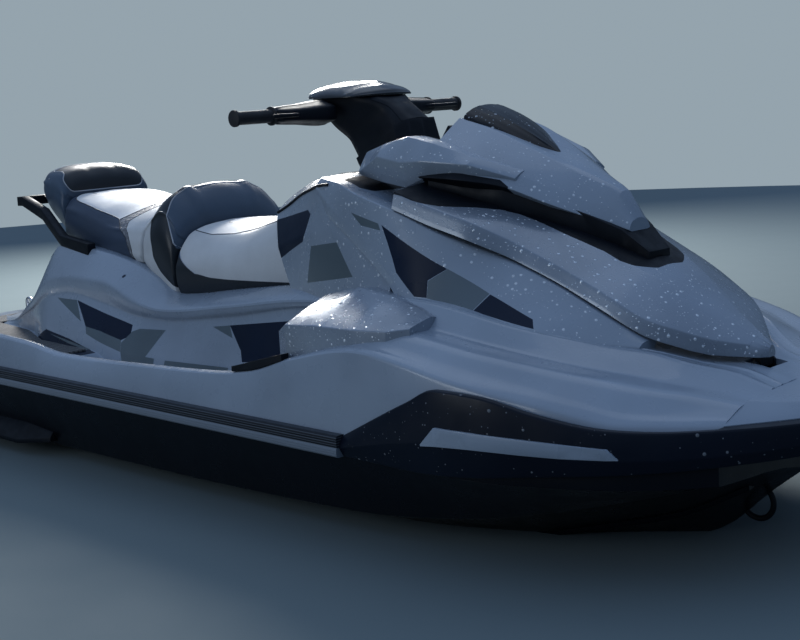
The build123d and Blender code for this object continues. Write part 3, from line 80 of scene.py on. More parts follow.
BUMPER = [
    (2367, 612, 365, 388, 412), (2576, 620, 365, 430, 514), (2654, 620, 368, 440, 548),
    (2754, 610, 376, 440, 545), (2880, 568, 388, 436, 512), (3000, 514, 396, 430, 488),
    (3100, 440, 402, 430, 481), (3160, 376, 405, 430, 480),
]
BOW_BUMPER = [
    (3160, 376, 405, 430, 480), (3250, 262, 412, 436, 480), (3320, 140, 420, 442, 480), (3360, 46, 428, 448, 478),
]
CONSOLE = [
    (1600, 218, 640, 216, 728, 168, 806, 104, 838, 850),
    (1740, 238, 652, 230, 756, 182, 862, 126, 906, 920),
    (1860, 268, 664, 262, 788, 216, 906, 158, 938, 946),
    (2040, 320, 669, 312, 820, 292, 934, 250, 948, 944),
    (2160, 338, 669, 332, 790, 306, 900, 256, 915, 915),
    (2290, 352, 676, 345, 740, 312, 826, 262, 838, 842),
]
SIDE_POD = [
    (2062, 350, 505, 545, 606, 400, 636), (2120, 342, 535, 555, 630, 400, 682), (2240, 338, 550, 570, 640, 405, 708),
    (2360, 346, 550, 584, 640, 412, 696), (2450, 370, 530, 606, 640, 420, 676), (2495, 400, 500, 630, 646, 430, 662),
]
SIDE_COWL = [
    (1960, 268, 925, 246, 948), (2060, 314, 880, 296, 942), (2170, 336, 820, 326, 915), (2290, 360, 745, 338, 884),
    (2400, 392, 672, 330, 842), (2600, 372, 654, 256, 760), (2710, 356, 636, 242, 712), (2810, 304, 610, 231, 660),
    (2905, 236, 598, 206, 608),
]
HOOD = [
    (2300, 342, 884, 330, 924, 160, 944, 950), (2400, 334, 850, 322, 890, 155, 914, 920),
    (2500, 312, 816, 300, 856, 146, 882, 888), (2600, 258, 766, 245, 800, 136, 842, 850),
    (2700, 243, 722, 230, 754, 122, 796, 806), (2800, 232, 672, 220, 706, 100, 746, 757),
    (2900, 210, 616, 200, 650, 70, 690, 698), (2950, 176, 594, 165, 628, 55, 656, 663),
    (3000, 120, 570, 110, 602, 38, 624, 630), (3050, 52, 558, 42, 584, 18, 594, 598),
]
UPPER_COWL = [
    (2302, 930, 250, 950, 210, 1004, 96, 1080, 1070), (2400, 925, 245, 945, 200, 988, 92, 1052, 1040),
    (2500, 905, 198, 928, 166, 960, 76, 1006, 1000), (2600, 866, 150, 886, 116, 912, 50, 954, 962),
    (2665, 836, 96, 852, 74, 882, 32, 922, 930), (2712, 818, 60, 832, 44, 864, 20, 898, 904),
    (2748, 806, 40, 816, 32, 832, 14, 840, 842),
]
MIRROR_POD = [
    (2112, 172, 262, 950, 962, 1010), (2182, 168, 266, 936, 1000, 1030), (2255, 162, 266, 924, 986, 1045),
    (2325, 160, 262, 950, 988, 1030), (2440, 158, 232, 942, 978, 992), (2530, 110, 171, 924, 942, 958),
]
VISOR = [
    (2312, 92, 1084, 58, 1102, 1110), (2360, 91, 1066, 58, 1084, 1092), (2410, 83, 1043, 50, 1060, 1068),
    (2480, 55, 1004, 30, 1018, 1026), (2535, 16, 976, 8, 982, 986),
]
FRONT_SEAT = [
    (1276, 218, 598, 236, 680, 172, 776, 806), (1400, 220, 608, 238, 694, 174, 777, 816),
    (1520, 222, 622, 238, 700, 174, 780, 822), (1660, 218, 638, 228, 728, 168, 820, 846),
    (1860, 212, 664, 220, 760, 156, 894, 912),
]
BACKREST = [
    (1096, 206, 680, 216, 744, 170, 814, 862), (1150, 212, 652, 226, 762, 178, 862, 902),
    (1200, 216, 626, 230, 790, 180, 886, 922), (1244, 218, 602, 232, 776, 170, 852, 894),
    (1275.7, 218, 598, 232, 716, 166, 796, 832),
]
REAR_SEAT = [
    (620, 168, 724, 182, 796, 150, 866, 880), (700, 178, 722, 198, 790, 168, 862, 882),
    (820, 188, 708, 208, 770, 174, 834, 868), (940, 196, 696, 212, 752, 174, 802, 860),
    (1095.7, 206, 682, 216, 742, 170, 812, 862),
]
BOLSTER = [
    (408, 60, 868, 84, 894, 66, 922, 930), (440, 104, 842, 138, 888, 114, 942, 954),
    (490, 126, 806, 160, 874, 138, 950, 966), (560, 138, 768, 172, 860, 146, 948, 967),
    (598, 145, 752, 177, 850, 148, 934, 958), (619.7, 148, 740, 178, 836, 140, 892, 908),
]
NECK = [(5, -108, 104, 62, 24), (60, -112, 80, 56, 20), (112, -120, 46, 84, 24), (200, -126, 0, 112, 24)]
COVER = [
    (-118, -34, 92, 2), (-112, -52, 110, 8), (-70, -72, 140, 24), (0, -78, 156, 32), (70, -72, 140, 24),
    (112, -52, 110, 8), (118, -34, 92, 2),
]
AXES = {"xz": (0, 2), "xy": (0, 1), "yz": (1, 2)}
SIDES = ((1, "port"), (-1, "starboard"))
WELD = 0.00005
CUT_TOLERANCE = 0.00002
BEAD_STEP = 0.004


def put(x, y, z):
    """Craft millimetres to the shared frame in metres."""
    return ((x - ORIGIN_X) / 1000, y / 1000, (z - ORIGIN_Z) / 1000)


def craft(spot):
    """Shared frame in metres to craft millimetres."""
    return spot[0] * 1000 + ORIGIN_X, spot[1] * 1000, spot[2] * 1000 + ORIGIN_Z


def smooth_curve(xs, ys, wanted):
    """Monotone cubic through the given points."""
    step = np.diff(xs)
    slope = np.diff(ys) / step
    tangent = np.zeros(len(xs))
    tangent[0], tangent[-1] = slope[0], slope[-1]
    for i in range(1, len(xs) - 1):
        a, b = slope[i - 1], slope[i]
        if a * b > 0:
            wa, wb = 2 * step[i] + step[i - 1], step[i] + 2 * step[i - 1]
            tangent[i] = (wa + wb) / (wa / a + wb / b)
    place = np.clip(np.searchsorted(xs, wanted) - 1, 0, len(xs) - 2)
    h = step[place]
    t = (wanted - xs[place]) / h
    return ((1 + 2 * t) * (1 - t) ** 2 * ys[place] + t * (1 - t) ** 2 * h * tangent[place]
            + t * t * (3 - 2 * t) * ys[place + 1] + t * t * (t - 1) * h * tangent[place + 1])


def between(table, step, curve):
    """Table rows at close stations."""
    rows = np.array(table, float)
    xs, wanted = rows[:, 0], []
    for a, b in zip(xs, xs[1:]):
        count = max(1, int(round((b - a) / step)))
        wanted += [a + (b - a) * i / count for i in range(count)]
    wanted = np.array(wanted + [xs[-1]])
    return np.stack([wanted] + [curve(xs, column, wanted) for column in rows.T[1:]], axis=1)


def dense(table, step):
    """Close stations, smooth along the craft."""
    return between(table, step, smooth_curve)


def linear(table, step):
    """Close stations, straight between the drawn ones."""
    return between(table, step, lambda xs, ys, wanted: np.interp(wanted, xs, ys))


def at(table, x, column):
    """Smooth value of one column of a station table."""
    rows = np.array(table, float)
    place = np.clip([float(x)], rows[0, 0], rows[-1, 0])
    return float(smooth_curve(rows[:, 0], rows[:, column], place)[0])


def flange_y(x):
    """Half breadth of the flange that hull and deck share."""
    return FLANGE - at(PLAN, x, 1)


def rounded(points, radii, crowns, arc=3, fill=2):
    """Closed outline with its corners rounded and its edges crowned."""
    count = len(points)
    pts = [np.array(p, float) for p in points]
    area = sum(p[0] * q[1] - q[0] * p[1] for p, q in zip(pts, pts[1:] + pts[:1]))
    turn = 1.0 if area > 0 else -1.0
    arcs = []
    for i in range(count):
        here = pts[i]
        e0, e1 = here - pts[i - 1], pts[(i + 1) % count] - here
        l0, l1 = max(np.linalg.norm(e0), 1e-6), max(np.linalg.norm(e1), 1e-6)
        size = min(radii[i], 0.46 * l0, 0.46 * l1)
        a, b = here - e0 / l0 * size, here + e1 / l1 * size
        arcs.append([(1 - t) ** 2 * a + 2 * t * (1 - t) * here + t * t * b for t in np.linspace(0, 1, arc + 1)])
    ring = []
    for i in range(count):
        ring += arcs[i]
        a, b = arcs[i][-1], arcs[(i + 1) % count][0]
        along = b - a
        normal = np.array([along[1], -along[0]]) / max(np.linalg.norm(along), 1e-6) * turn
        for k in range(1, fill + 1):
            t = k / (fill + 1)
            ring.append(a + along * t + normal * crowns[i] * 4 * t * (1 - t))
    return ring


def couples(row):
    """Points from a row of alternating y and z."""
    return list(zip(row[::2], row[1::2]))


def show(name, data):
    """Object of the scene from its data."""
    obj = bpy.data.objects.new(name, data)
    SCENE.collection.objects.link(obj)
    return obj


def soften(obj):
    """Smooth shading all over."""
    for face in obj.data.polygons:
        face.use_smooth = True


def tube_of(name, rings, smooth=True):
    """Closed surface through rings of points in craft millimetres."""
    count = len(rings[0])
    verts = [put(*spot) for ring in rings for spot in ring]
    faces = [(s * count + i, s * count + (i + 1) % count, (s + 1) * count + (i + 1) % count, (s + 1) * count + i)
             for s in range(len(rings) - 1) for i in range(count)]
    faces += [tuple(range(count))[::-1], tuple(range(len(verts) - count, len(verts)))]
    mesh = bpy.data.meshes.new(name)
    mesh.from_pydata([tuple(v) for v in verts], [], faces)
    mesh.validate()
    obj = show(name, mesh)
    work = bmesh.new()
    work.from_mesh(mesh)
    bmesh.ops.remove_doubles(work, verts=work.verts, dist=WELD)
    bmesh.ops.recalc_face_normals(work, faces=work.faces)
    work.to_mesh(mesh)
    work.free()
    for face in mesh.polygons:
        face.use_smooth = smooth
    return obj


def loft_rings(table, ring_of, radii, crowns, step=24.0, side=0, arc=3, fill=2, spread=dense):
    """Rings through close stations. Side 1 or -1 is a body on that side, and 0 mirrors a port half."""
    rings = []
    for row in spread(table, step):
        points, r, c = ring_of(row), radii(row[0]) if callable(radii) else radii, crowns
        if not side:
            points = points + [(-y, z) for y, z in points[-2:0:-1]]
            r, c = r + r[-2:0:-1], c + c[::-1]
        rings.append([(row[0], (side or 1) * y, z) for y, z in rounded(points, r, c, arc, fill)])
    return rings


def loft(name, *args, **settings):
    """Skin through the rings of a station table."""
    return tube_of(name, loft_rings(*args, **settings))


def prism(name, outline, y_low, y_high):
    """Solid of one side outline, as craft x and z, between two y values."""
    return tube_of(name, [[(x, y, z) for x, z in outline] for y in (y_low, y_high)], False)


def bake(obj):
    """Apply every modifier to the mesh."""
    graph = bpy.context.evaluated_depsgraph_get()
    graph.update()
    mesh = bpy.data.meshes.new_from_object(obj.evaluated_get(graph))
    old = obj.data
    obj.modifiers.clear()
    obj.data = mesh
    mesh.name = obj.name
    if old.users == 0:
        bpy.data.meshes.remove(old)


def carve(obj, tool):
    """Cut one solid out of another and drop the tool."""
    change = obj.modifiers.new("cut", "BOOLEAN")
    change.operation = "DIFFERENCE"
    change.solver = "EXACT"
    change.object = tool
    bake(obj)
    bpy.data.objects.remove(tool)


def cut(obj, outline, half):
    """Opening with one side outline, as wide to port as to starboard."""
    carve(obj, prism("cutter", outline, -half, half))


def cut_box(obj, x_low, x_high, half, z_low, z_high):
    """Box-shaped opening."""
    cut(obj, [(x_low, z_low), (x_high, z_low), (x_high, z_high), (x_low, z_high)], half)


def edges(obj, width, segments=2, angle=32.0, harden=True):
    """Small rounded edges."""
    change = obj.modifiers.new("edges", "BEVEL")
    change.width = width
    change.segments = segments
    change.limit_method = "ANGLE"
    change.angle_limit = math.radians(angle)
    change.harden_normals = harden
    change.miter_outer = "MITER_ARC"


def coat(obj, *materials):
    """Give an object its materials."""
    obj.data.materials.clear()
    for one in materials:
        obj.data.materials.append(one)
    return obj


def finish(obj, angle, body, slot, *names):
    """Edges sharper than the angle shade crisp. The piece rides a body and replaces the named nodes."""
    if angle:
        obj.data.set_sharp_from_angle(angle=math.radians(angle))
    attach(obj, body)
    if names:
        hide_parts(*names)


def dress(mat, bevel, *names):
    """Material and small edges for nodes kept from the frame."""
    for name in names:
        obj = coat(NODES[name], mat)
        for face in obj.data.polygons:
            face.use_smooth = True
            face.material_index = 0
        obj.modifiers.new("weld", "WELD").merge_threshold = WELD
        if bevel:
            edges(obj, bevel)


def either(low, high=math.inf):
    """Test for points between two distances from the centre line."""
    return lambda x, y, z: low < abs(y) < high


def inside(spot, outline):
    """Whether a flat point lies in an outline."""
    x, y = spot
    hit = False
    for (x0, y0), (x1, y1) in zip(outline, outline[1:] + outline[:1]):
        if (y0 > y) != (y1 > y) and x < x0 + (y - y0) / (y1 - y0) * (x1 - x0):
            hit = not hit
    return hit


def mark(obj, outline, index, where=None, plane="xz"):
    """Cut an outline into the surface, seen along one axis, and give the faces inside it a material."""
    first, second = AXES[plane]
    work = bmesh.new()
    work.from_mesh(obj.data)

    def meets(face, u0, v0, u1, v1):
        spots = [craft(vert.co) for vert in face.verts]
        us, vs = [s[first] for s in spots], [s[second] for s in spots]
        return (max(us) >= min(u0, u1) - 1 and min(us) <= max(u0, u1) + 1
                and max(vs) >= min(v0, v1) - 1 and min(vs) <= max(v0, v1) + 1)

    us, vs = [p[0] for p in outline], [p[1] for p in outline]
    near = [f for f in work.faces if meets(f, min(us), min(vs), max(us), max(vs))
            and (where is None or where(*craft(f.calc_center_median())))]
    for (u0, v0), (u1, v1) in zip(outline, outline[1:] + outline[:1]):
        picked = [f for f in near if meets(f, u0, v0, u1, v1)]
        if not picked:
            continue
        chosen = set(picked)
        rest = [f for f in near if f not in chosen]
        geom = picked + list({e for f in picked for e in f.edges}) + list({v for f in picked for v in f.verts})
        spot, normal = [ORIGIN_X, 0.0, ORIGIN_Z], [0.0, 0.0, 0.0]
        spot[first], spot[second] = u0, v0
        normal[first], normal[second] = v1 - v0, u0 - u1
        made = bmesh.ops.bisect_plane(work, geom=geom, dist=CUT_TOLERANCE, plane_co=put(*spot), plane_no=normal)
        near = rest + [g for g in made["geom"] if isinstance(g, bmesh.types.BMFace)]
    for face in near:
        spot = craft(face.calc_center_median())
        if inside((spot[first], spot[second]), outline):
            face.material_index = index
    work.to_mesh(obj.data)
    work.free()


def seam_chains(obj, pairs):
    """Chains of points, in metres, where the named pairs of materials meet."""
    work = bmesh.new()
    work.from_mesh(obj.data)
    wanted = [frozenset(pair) for pair in pairs]
    links = {}
    for edge in work.edges:
        faces = edge.link_faces
        if len(faces) != 2 or frozenset((faces[0].material_index, faces[1].material_index)) not in wanted:
            continue
        a, b = edge.verts
        links.setdefault(a.index, []).append(b.index)
        links.setdefault(b.index, []).append(a.index)
    spots = {v.index: v.co.copy() for v in work.verts if v.index in links}
    work.free()
    chains, used = [], set()
    for start in sorted(links, key=lambda i: (len(links[i]) == 2, i)):
        for step in links[start]:
            if frozenset((start, step)) in used:
                continue
            chain, here, ahead = [start], start, step
            while ahead is not None:
                used.add(frozenset((here, ahead)))
                chain.append(ahead)
                here = ahead
                ahead = next((n for n in links[here] if frozenset((here, n)) not in used), None)
            chains.append([tuple(spots[i]) for i in chain])
    return chains


def eased(chain):
    """Chain with its small steps evened out, ends kept."""
    points = np.array(chain)
    keep = [0]
    for i in range(1, len(points)):
        if np.linalg.norm(points[i] - points[keep[-1]]) > BEAD_STEP:
            keep.append(i)
    points = points[keep]
    for _ in range(2):
        if len(points) > 2:
            points[1:-1] = points[1:-1] * 0.5 + (points[:-2] + points[2:]) * 0.25
    return points


def piping(name, chains, radius, mat, slot="seat_vinyl"):
    """Round bead laid along chains of points."""
    curve = bpy.data.curves.new(name, "CURVE")
    curve.dimensions = "3D"
    curve.bevel_depth = radius / 1000
    curve.bevel_resolution = 2
    curve.use_fill_caps = True
    for chain in chains:
        points = eased(chain)
        if len(points) < 4:
            continue
        spline = curve.splines.new("POLY")
        spline.points.add(len(points) - 1)
        for spot, point in zip(points, spline.points):
            point.co = (*spot, 1)
    obj = show(name, curve)
    curve.materials.append(mat)
    finish(obj, 0, "root", slot)


def join(name, *parts):
    """One mesh object from several, which are dropped."""
    work = bmesh.new()
    for part in parts:
        work.from_mesh(part.data)
    mesh = bpy.data.meshes.new(name)
    work.to_mesh(mesh)
    work.free()
    obj = show(name, mesh)
    for part in parts:
        old = part.data
        bpy.data.objects.remove(part)
        bpy.data.meshes.remove(old)
    soften(obj)
    return obj


def seam_distance(points, lines):
    """Distance of each point from polylines, seen from the side."""
    flat = points[:, [0, 2]]
    best = np.full(len(points), 1e9)
    for line in lines:
        for a, b in zip(line, line[1:]):
            a, b = np.array(a, float), np.array(b, float)
            along = b - a
            share = np.clip((flat - a) @ along / max(along @ along, 1e-9), 0, 1)
            best = np.minimum(best, np.linalg.norm(flat - a - share[:, None] * along, axis=1))
    return best


def positions(mesh):
    """Mesh points as an array."""
    flat = np.empty(len(mesh.vertices) * 3)
    mesh.vertices.foreach_get("co", flat)
    return flat.reshape(-1, 3)


CLOTH = {
    "quality": 6, "mass": 0.3, "tension_stiffness": 18, "compression_stiffness": 18, "bending_stiffness": 0.6,
    "use_pressure": True, "uniform_pressure_force": 4.0, "vertex_group_mass": "held",
}
FRAMES = 20
# Millimetres of a cover that are held at its base, ends and seam lines
BASE_HELD, END_HELD, SEAM_HELD = 14, 6, 7


def inflate(obj, held, cap):
    """Swell a closed cover by cloth pressure. Held points stay and no point moves more than the cap."""
    before = positions(obj.data)
    group = obj.vertex_groups.new(name="held")
    group.add([int(i) for i in held], 1.0, "REPLACE")
    swell = obj.modifiers.new("swell", "CLOTH")
    for key, value in CLOTH.items():
        setattr(swell.settings, key, value)
    swell.settings.effector_weights.gravity = 0
    swell.collision_settings.use_collision = False
    swell.point_cache.frame_start = 1
    swell.point_cache.frame_end = FRAMES
    for moment in range(1, FRAMES + 1):
        SCENE.frame_set(moment)
    move = positions(obj.evaluated_get(bpy.context.evaluated_depsgraph_get()).data) - before
    size = np.linalg.norm(move, axis=1, keepdims=True)
    after = before + move * np.minimum(1.0, cap / np.maximum(size, 1e-9))
    obj.modifiers.remove(swell)
    obj.vertex_groups.remove(group)
    obj.data.vertices.foreach_set("co", after.ravel())
    obj.data.update()
    SCENE.frame_set(1)


# Materials
class Graph:
    """Nodes of one node tree."""

    def __init__(self, tree):
        self.tree = tree

    def feed(self, socket, value):
        """Link a socket, or set its plain value."""
        if isinstance(value, bpy.types.NodeSocket):
            self.tree.links.new(value, socket)
        elif value is not None:
            socket.default_value = (*value, 1) if socket.type == "RGBA" else value

    def add(self, kind, inputs, **settings):
        """New node with its settings and inputs, as its outputs."""
        made = self.tree.nodes.new("ShaderNode" + kind)
        for key, value in settings.items():
            setattr(made, key, value)
        for key, value in inputs.items():
            self.feed(made.inputs[key], value)
        return made.outputs

    def place(self):
        """Object coordinates, in metres."""
        return self.add("TexCoord", {})["Object"]

    def axis(self, name, vector=None):
        """One coordinate of a place."""
        return self.add("SeparateXYZ", {"Vector": vector or self.place()})[name]

    def mapped(self, **inputs):
        """Object coordinates, moved or stretched."""
        return self.add("Mapping", {"Vector": self.place(), **inputs})["Vector"]

    def noise(self, scale, detail=2.0, rough=0.5, vector=None):
        inputs = {"Scale": scale, "Detail": detail, "Roughness": rough, "Vector": vector or self.place()}
        return self.add("TexNoise", inputs)["Fac"]

    def cells(self, scale, feature="F1", scatter=1.0, vector=None):
        inputs = {"Scale": scale, "Randomness": scatter, "Vector": vector or self.place()}
        return self.add("TexVoronoi", inputs, feature=feature)

    def remap(self, value, low, high, to_low=0.0, to_high=1.0, curve="SMOOTHSTEP"):
        inputs = {"Value": value, "From Min": low, "From Max": high, "To Min": to_low, "To Max": to_high}
        return self.add("MapRange", inputs, interpolation_type=curve)["Result"]

    def vary(self, scale, detail, low=0.0, high=1.0):
        """Soft noise between two values."""
        return self.remap(self.noise(scale, detail), 0.3, 0.7, low, high)

    def maths(self, operation, a, b=None):
        return self.add("Math", {0: a, 1: b}, operation=operation)["Value"]

    def times(self, a, b):
        return self.maths("MULTIPLY", a, b)

    def mix(self, factor, a, b):
        """Colour between a and b."""
        return self.add("Mix", {0: factor, 6: a, 7: b}, data_type="RGBA")[2]

    def bump(self, height, strength, distance, below=None):
        inputs = {"Height": height, "Strength": strength, "Distance": distance, "Normal": below}
        return self.add("Bump", inputs)["Normal"]

    def droplets(self, scale, cover, seed):
        """Height of scattered water beads, zero between them."""
        cells = self.cells(scale, vector=self.mapped(Location=(seed, seed * 1.7, seed * 0.3)))
        share = self.add("SeparateColor", {"Color": cells["Color"]})["Red"]
        size = self.remap(share, 1.0 - cover, 1.0, 0.0, 0.34)
        return self.maths("MAXIMUM", self.maths("SUBTRACT", size, cells["Distance"]), 0.0)

    def beaded(self, tone, roughness, grain, wet, glint):
        """Add water beads to a coat: each with a painted highlight, smoother and raised."""
        beads = self.maths("ADD", self.droplets(75.0, wet, 3.1), self.times(self.droplets(150.0, wet, 8.4), 0.8))
        spot = self.remap(beads, 0.02, 0.12)
        # Bead centres lightened towards a pale tone: a painted highlight
        tone = self.mix(self.times(spot, glint), tone, BEAD_GLINT)
        smooth = self.add("Mix", {0: spot, 2: roughness, 3: 0.08}, data_type="FLOAT")[0]
        return tone, smooth, self.bump(beads, 1.0, 0.004, grain)


# Pale tone of the painted highlight on water beads
BEAD_GLINT = (0.75, 0.80, 0.85)


class Shader(Graph):
    """Principled material with its plain values on the shader's own sockets."""

    def __init__(self, name, color, rough, metallic=0.0, coat=0.0, coat_rough=0.05, spec=0.5, sheen=0.0):
        self.mat = bpy.data.materials.new(name)
        self.mat.use_nodes = True
        self.mat.diffuse_color = (*color, 1)
        super().__init__(self.mat.node_tree)
        self.wire({"Base Color": color, "Roughness": rough, "Metallic": metallic, "Coat Weight": coat,
                   "Coat Roughness": coat_rough, "Specular IOR Level": spec, "Sheen Weight": sheen})

    def wire(self, inputs):
        """Set or link sockets of the shader, and give the material."""
        for key, value in inputs.items():
            self.feed(self.tree.nodes["Principled BSDF"].inputs[key], value)
        return self.mat

    def done(self, color=None, rough=None, normal=None, coat_normal=None):
        return self.wire({"Base Color": color, "Roughness": rough, "Normal": normal, "Coat Normal": coat_normal})


def tint(color, factor):
    """Lighter or darker colour."""
    return tuple(min(1.0, c * factor) for c in color)


def paint(name, color, flake=0.04, wet=0.0, rough=0.28, metallic=0.0, coat=0.5, glint=0.4, spec=0.5):
    """Moulded, coated shell with faint variation, fine grain and water beads that carry a painted highlight."""
    s = Shader(name, color, rough, metallic, coat, 0.08, spec)
    broad = s.remap(s.noise(3.0, 3.0), 0.35, 0.65)
    dust = s.vary(900.0, 1.0)
    base = s.mix(broad, tint(color, 1 - flake * 2), tint(color, 1 + flake))
    speck = s.mix(s.times(dust, flake * 2), base, tint(color, 1.35))
    roughness = s.vary(14.0, 4.0, rough - 0.05, rough + 0.08)
    grain = s.bump(s.noise(260.0, 2.0), 0.05, 0.0006)
    if wet > 0:
        speck, roughness, grain = s.beaded(speck, roughness, grain, wet, glint)
    return s.done(speck, roughness, grain, grain)


def moulded(name, color, rough=0.5, grain=0.25, scale=420.0, spec=0.5):
    """Textured moulded plastic or rubber."""
    s = Shader(name, color, rough, spec=spec)
    tone = s.mix(s.vary(7.0, 4.0), tint(color, 0.82), tint(color, 1.25))
    roughness = s.vary(30.0, 5.0, max(0.05, rough - 0.07), min(1.0, rough + 0.1))
    return s.done(tone, roughness, s.bump(s.noise(scale, 3.0), grain, 0.0008))


def metal(name, color, rough, cast=False):
    """Cast or brushed metal."""
    s = Shader(name, color, rough, 1.0)
    stretched = s.mapped(Scale=(1, 1, 1) if cast else (40.0, 40.0, 600.0))
    grain = s.noise(160.0 if cast else 3.0, 4.0, 0.6, stretched)
    tone = s.mix(s.remap(grain, 0.3, 0.7), tint(color, 0.8), color)
    roughness = s.remap(grain, 0.3, 0.7, rough - 0.08, rough + 0.1)
    return s.done(tone, roughness, s.bump(grain, 0.3 if cast else 0.08, 0.0008))


def vinyl(name, color, rough=0.42, pressed=(), knit=0.0):
    """Seat vinyl with a fine pebbled grain, pressed ovals edged with painted shade and, for some panels, a coarse
    weave.
    """
    s = Shader(name, color, rough, spec=0.45, sheen=0.06)
    pebble = s.cells(620.0, "SMOOTH_F1")["Distance"]
    wear = s.remap(s.noise(9.0, 5.0), 0.3, 0.72)
    tone = s.mix(wear, tint(color, 0.9), tint(color, 1.05))
    tone = s.mix(s.times(s.remap(pebble, 0.0, 0.5), 0.22), tone, tint(color, 0.6))
    normal = s.bump(s.noise(16.0, 3.0), 0.12, 0.004)
    for x, y, half_x, half_y in pressed:
        spot = put(x, y, 0)
        u = s.maths("DIVIDE", s.maths("SUBTRACT", s.axis("X"), spot[0]), half_x / 1000)
        v = s.maths("DIVIDE", s.maths("SUBTRACT", s.axis("Y"), spot[1]), half_y / 1000)
        away = s.maths("POWER", s.maths("ADD", s.times(u, u), s.times(v, v)), 0.5)
        normal = s.bump(s.remap(away, 0.84, 1.0), 1.0, 0.004, normal)
        # A dark ring at the edge of each pressed oval: painted shade in the pressed crease
        line = s.times(s.remap(away, 0.9, 0.97), s.remap(away, 1.06, 0.99))
        tone = s.mix(s.times(line, 0.65), tone, tint(color, 0.35))
    if knit > 0:
        weave = s.cells(95.0, scatter=0.75)["Distance"]
        tone = s.mix(s.times(s.remap(weave, 0.25, 0.55), knit), tone, tint(color, 0.45))
        normal = s.bump(weave, 0.8, 0.003, normal)
    grain = s.bump(pebble, 0.35, 0.0007, normal)
    return s.done(tone, s.remap(wear, 0, 1, rough + 0.06, rough - 0.05), grain)


def rail_rubber():
    """Rail extrusion: grooves painted darker as shade between lighter ridges, over a grey stripe."""
    s = Shader("rail_rubber", (0.02, 0.023, 0.03), 0.45, spec=DULL)
    height = s.axis("Z")
    stripe = (RAIL_STRIPE - ORIGIN_Z) / 1000
    dark = s.remap(height, stripe - 0.001, stripe + 0.001)
    rib = s.remap(s.maths("SINE", s.times(height, 1100.0)), 0.35, 0.75)
    # Grooves between the ribs darker than the ridges: painted shade
    tone = s.mix(dark, (0.17, 0.20, 0.24), s.mix(rib, (0.012, 0.015, 0.021), (0.075, 0.088, 0.105)))
    return s.done(tone, s.vary(25.0, 4.0, 0.38, 0.55), s.bump(rib, 0.5, 0.001))


def mat_foam():
    """Grooved deck mat of speckled foam, with painted shade in its grooves."""
    s = Shader("mat_foam", (0.13, 0.125, 0.12), 0.85)
    speck = s.noise(520.0, 3.0, 0.7)
    tone = s.mix(s.remap(speck, 0.42, 0.6), (0.045, 0.046, 0.05), (0.23, 0.225, 0.22))
    broad = s.mix(s.remap(s.noise(11.0, 4.0), 0.35, 0.7), tone, (0.09, 0.09, 0.092))
    groove = s.remap(s.maths("SINE", s.times(s.axis("Y"), 420.0)), -0.9, -0.4)
    normal = s.bump(groove, 0.6, 0.0016, s.bump(speck, 0.4, 0.0006))
    # The low grooves are darker: painted shade
    return s.done(s.mix(groove, (0.04, 0.04, 0.042), broad), None, normal)


def smoked(name, wet, coat, spec):
    """Smoked screen, near black with gloss."""
    s = Shader(name, (0.006, 0.008, 0.011), 0.16, coat=coat, coat_rough=0.1, spec=spec)
    tone = s.mix(s.vary(5.0, 2.0), (0.003, 0.004, 0.007), (0.008, 0.01, 0.015))
    rough = s.vary(20.0, 4.0, 0.12, 0.24)
    fine = s.bump(s.noise(120.0, 2.0), 0.02, 0.0005)
    if wet > 0:
        tone, rough, fine = s.beaded(tone, rough, fine, wet, 0.5)
    return s.done(tone, rough, fine, fine)


def mirror_face():
    """Mirror glass."""
    s = Shader("mirror_face", (0.8, 0.83, 0.86), 0.03, 1.0)
    return s.done(None, s.vary(30.0, 4.0, 0.01, 0.06), s.bump(s.noise(4.0, 2.0), 0.01, 0.001))


def stage_tone(name, color, rough):
    """Plain floor colour with faint variation."""
    s = Shader(name, color, rough)
    tone = s.mix(s.vary(0.8, 3.0), tint(color, 0.985), color)
    return s.done(tone, s.vary(5.0, 3.0, rough - 0.03, rough + 0.03))


# Silver-white shell paint, set darker and bluer as it looks in shade: painted shade
SHELL_SHADED = (0.26, 0.31, 0.38)
DULL = 0.2
OVALS = ((1410, 0, 96, 92), (700, 0, 84, 96))
WHITE = paint("shell_paint", SHELL_SHADED, 0.05)
WET = paint("shell_wet", SHELL_SHADED, 0.05, wet=0.5, glint=0.65)
# Silver metallic hood paint, also set darker and bluer as it looks in shade: painted shade
HOOD_PAINT = paint("hood_paint", (0.24, 0.28, 0.34), 0.08, wet=0.8, metallic=0.2, glint=0.85)
BLACK_GEL = paint("hull_gel", (0.002, 0.003, 0.006), 0.1, rough=0.3, coat=0.0, spec=DULL)
TRIM = moulded("trim", (0.004, 0.006, 0.010), 0.5, spec=DULL)
TRIM_WET = paint("trim_wet", (0.003, 0.006, 0.014), 0.1, wet=0.15, rough=0.36, coat=0.0, glint=0.2, spec=DULL)
PATCH_DARK = paint("patch_dark", (0.006, 0.012, 0.030), 0.1, rough=0.3, coat=0.0, spec=DULL)
PATCH_GREY = paint("patch_grey", (0.085, 0.115, 0.135), 0.06, rough=0.32, coat=0.4)
SEAT_LIGHT = vinyl("seat_light", (0.74, 0.75, 0.76), 0.5, OVALS)
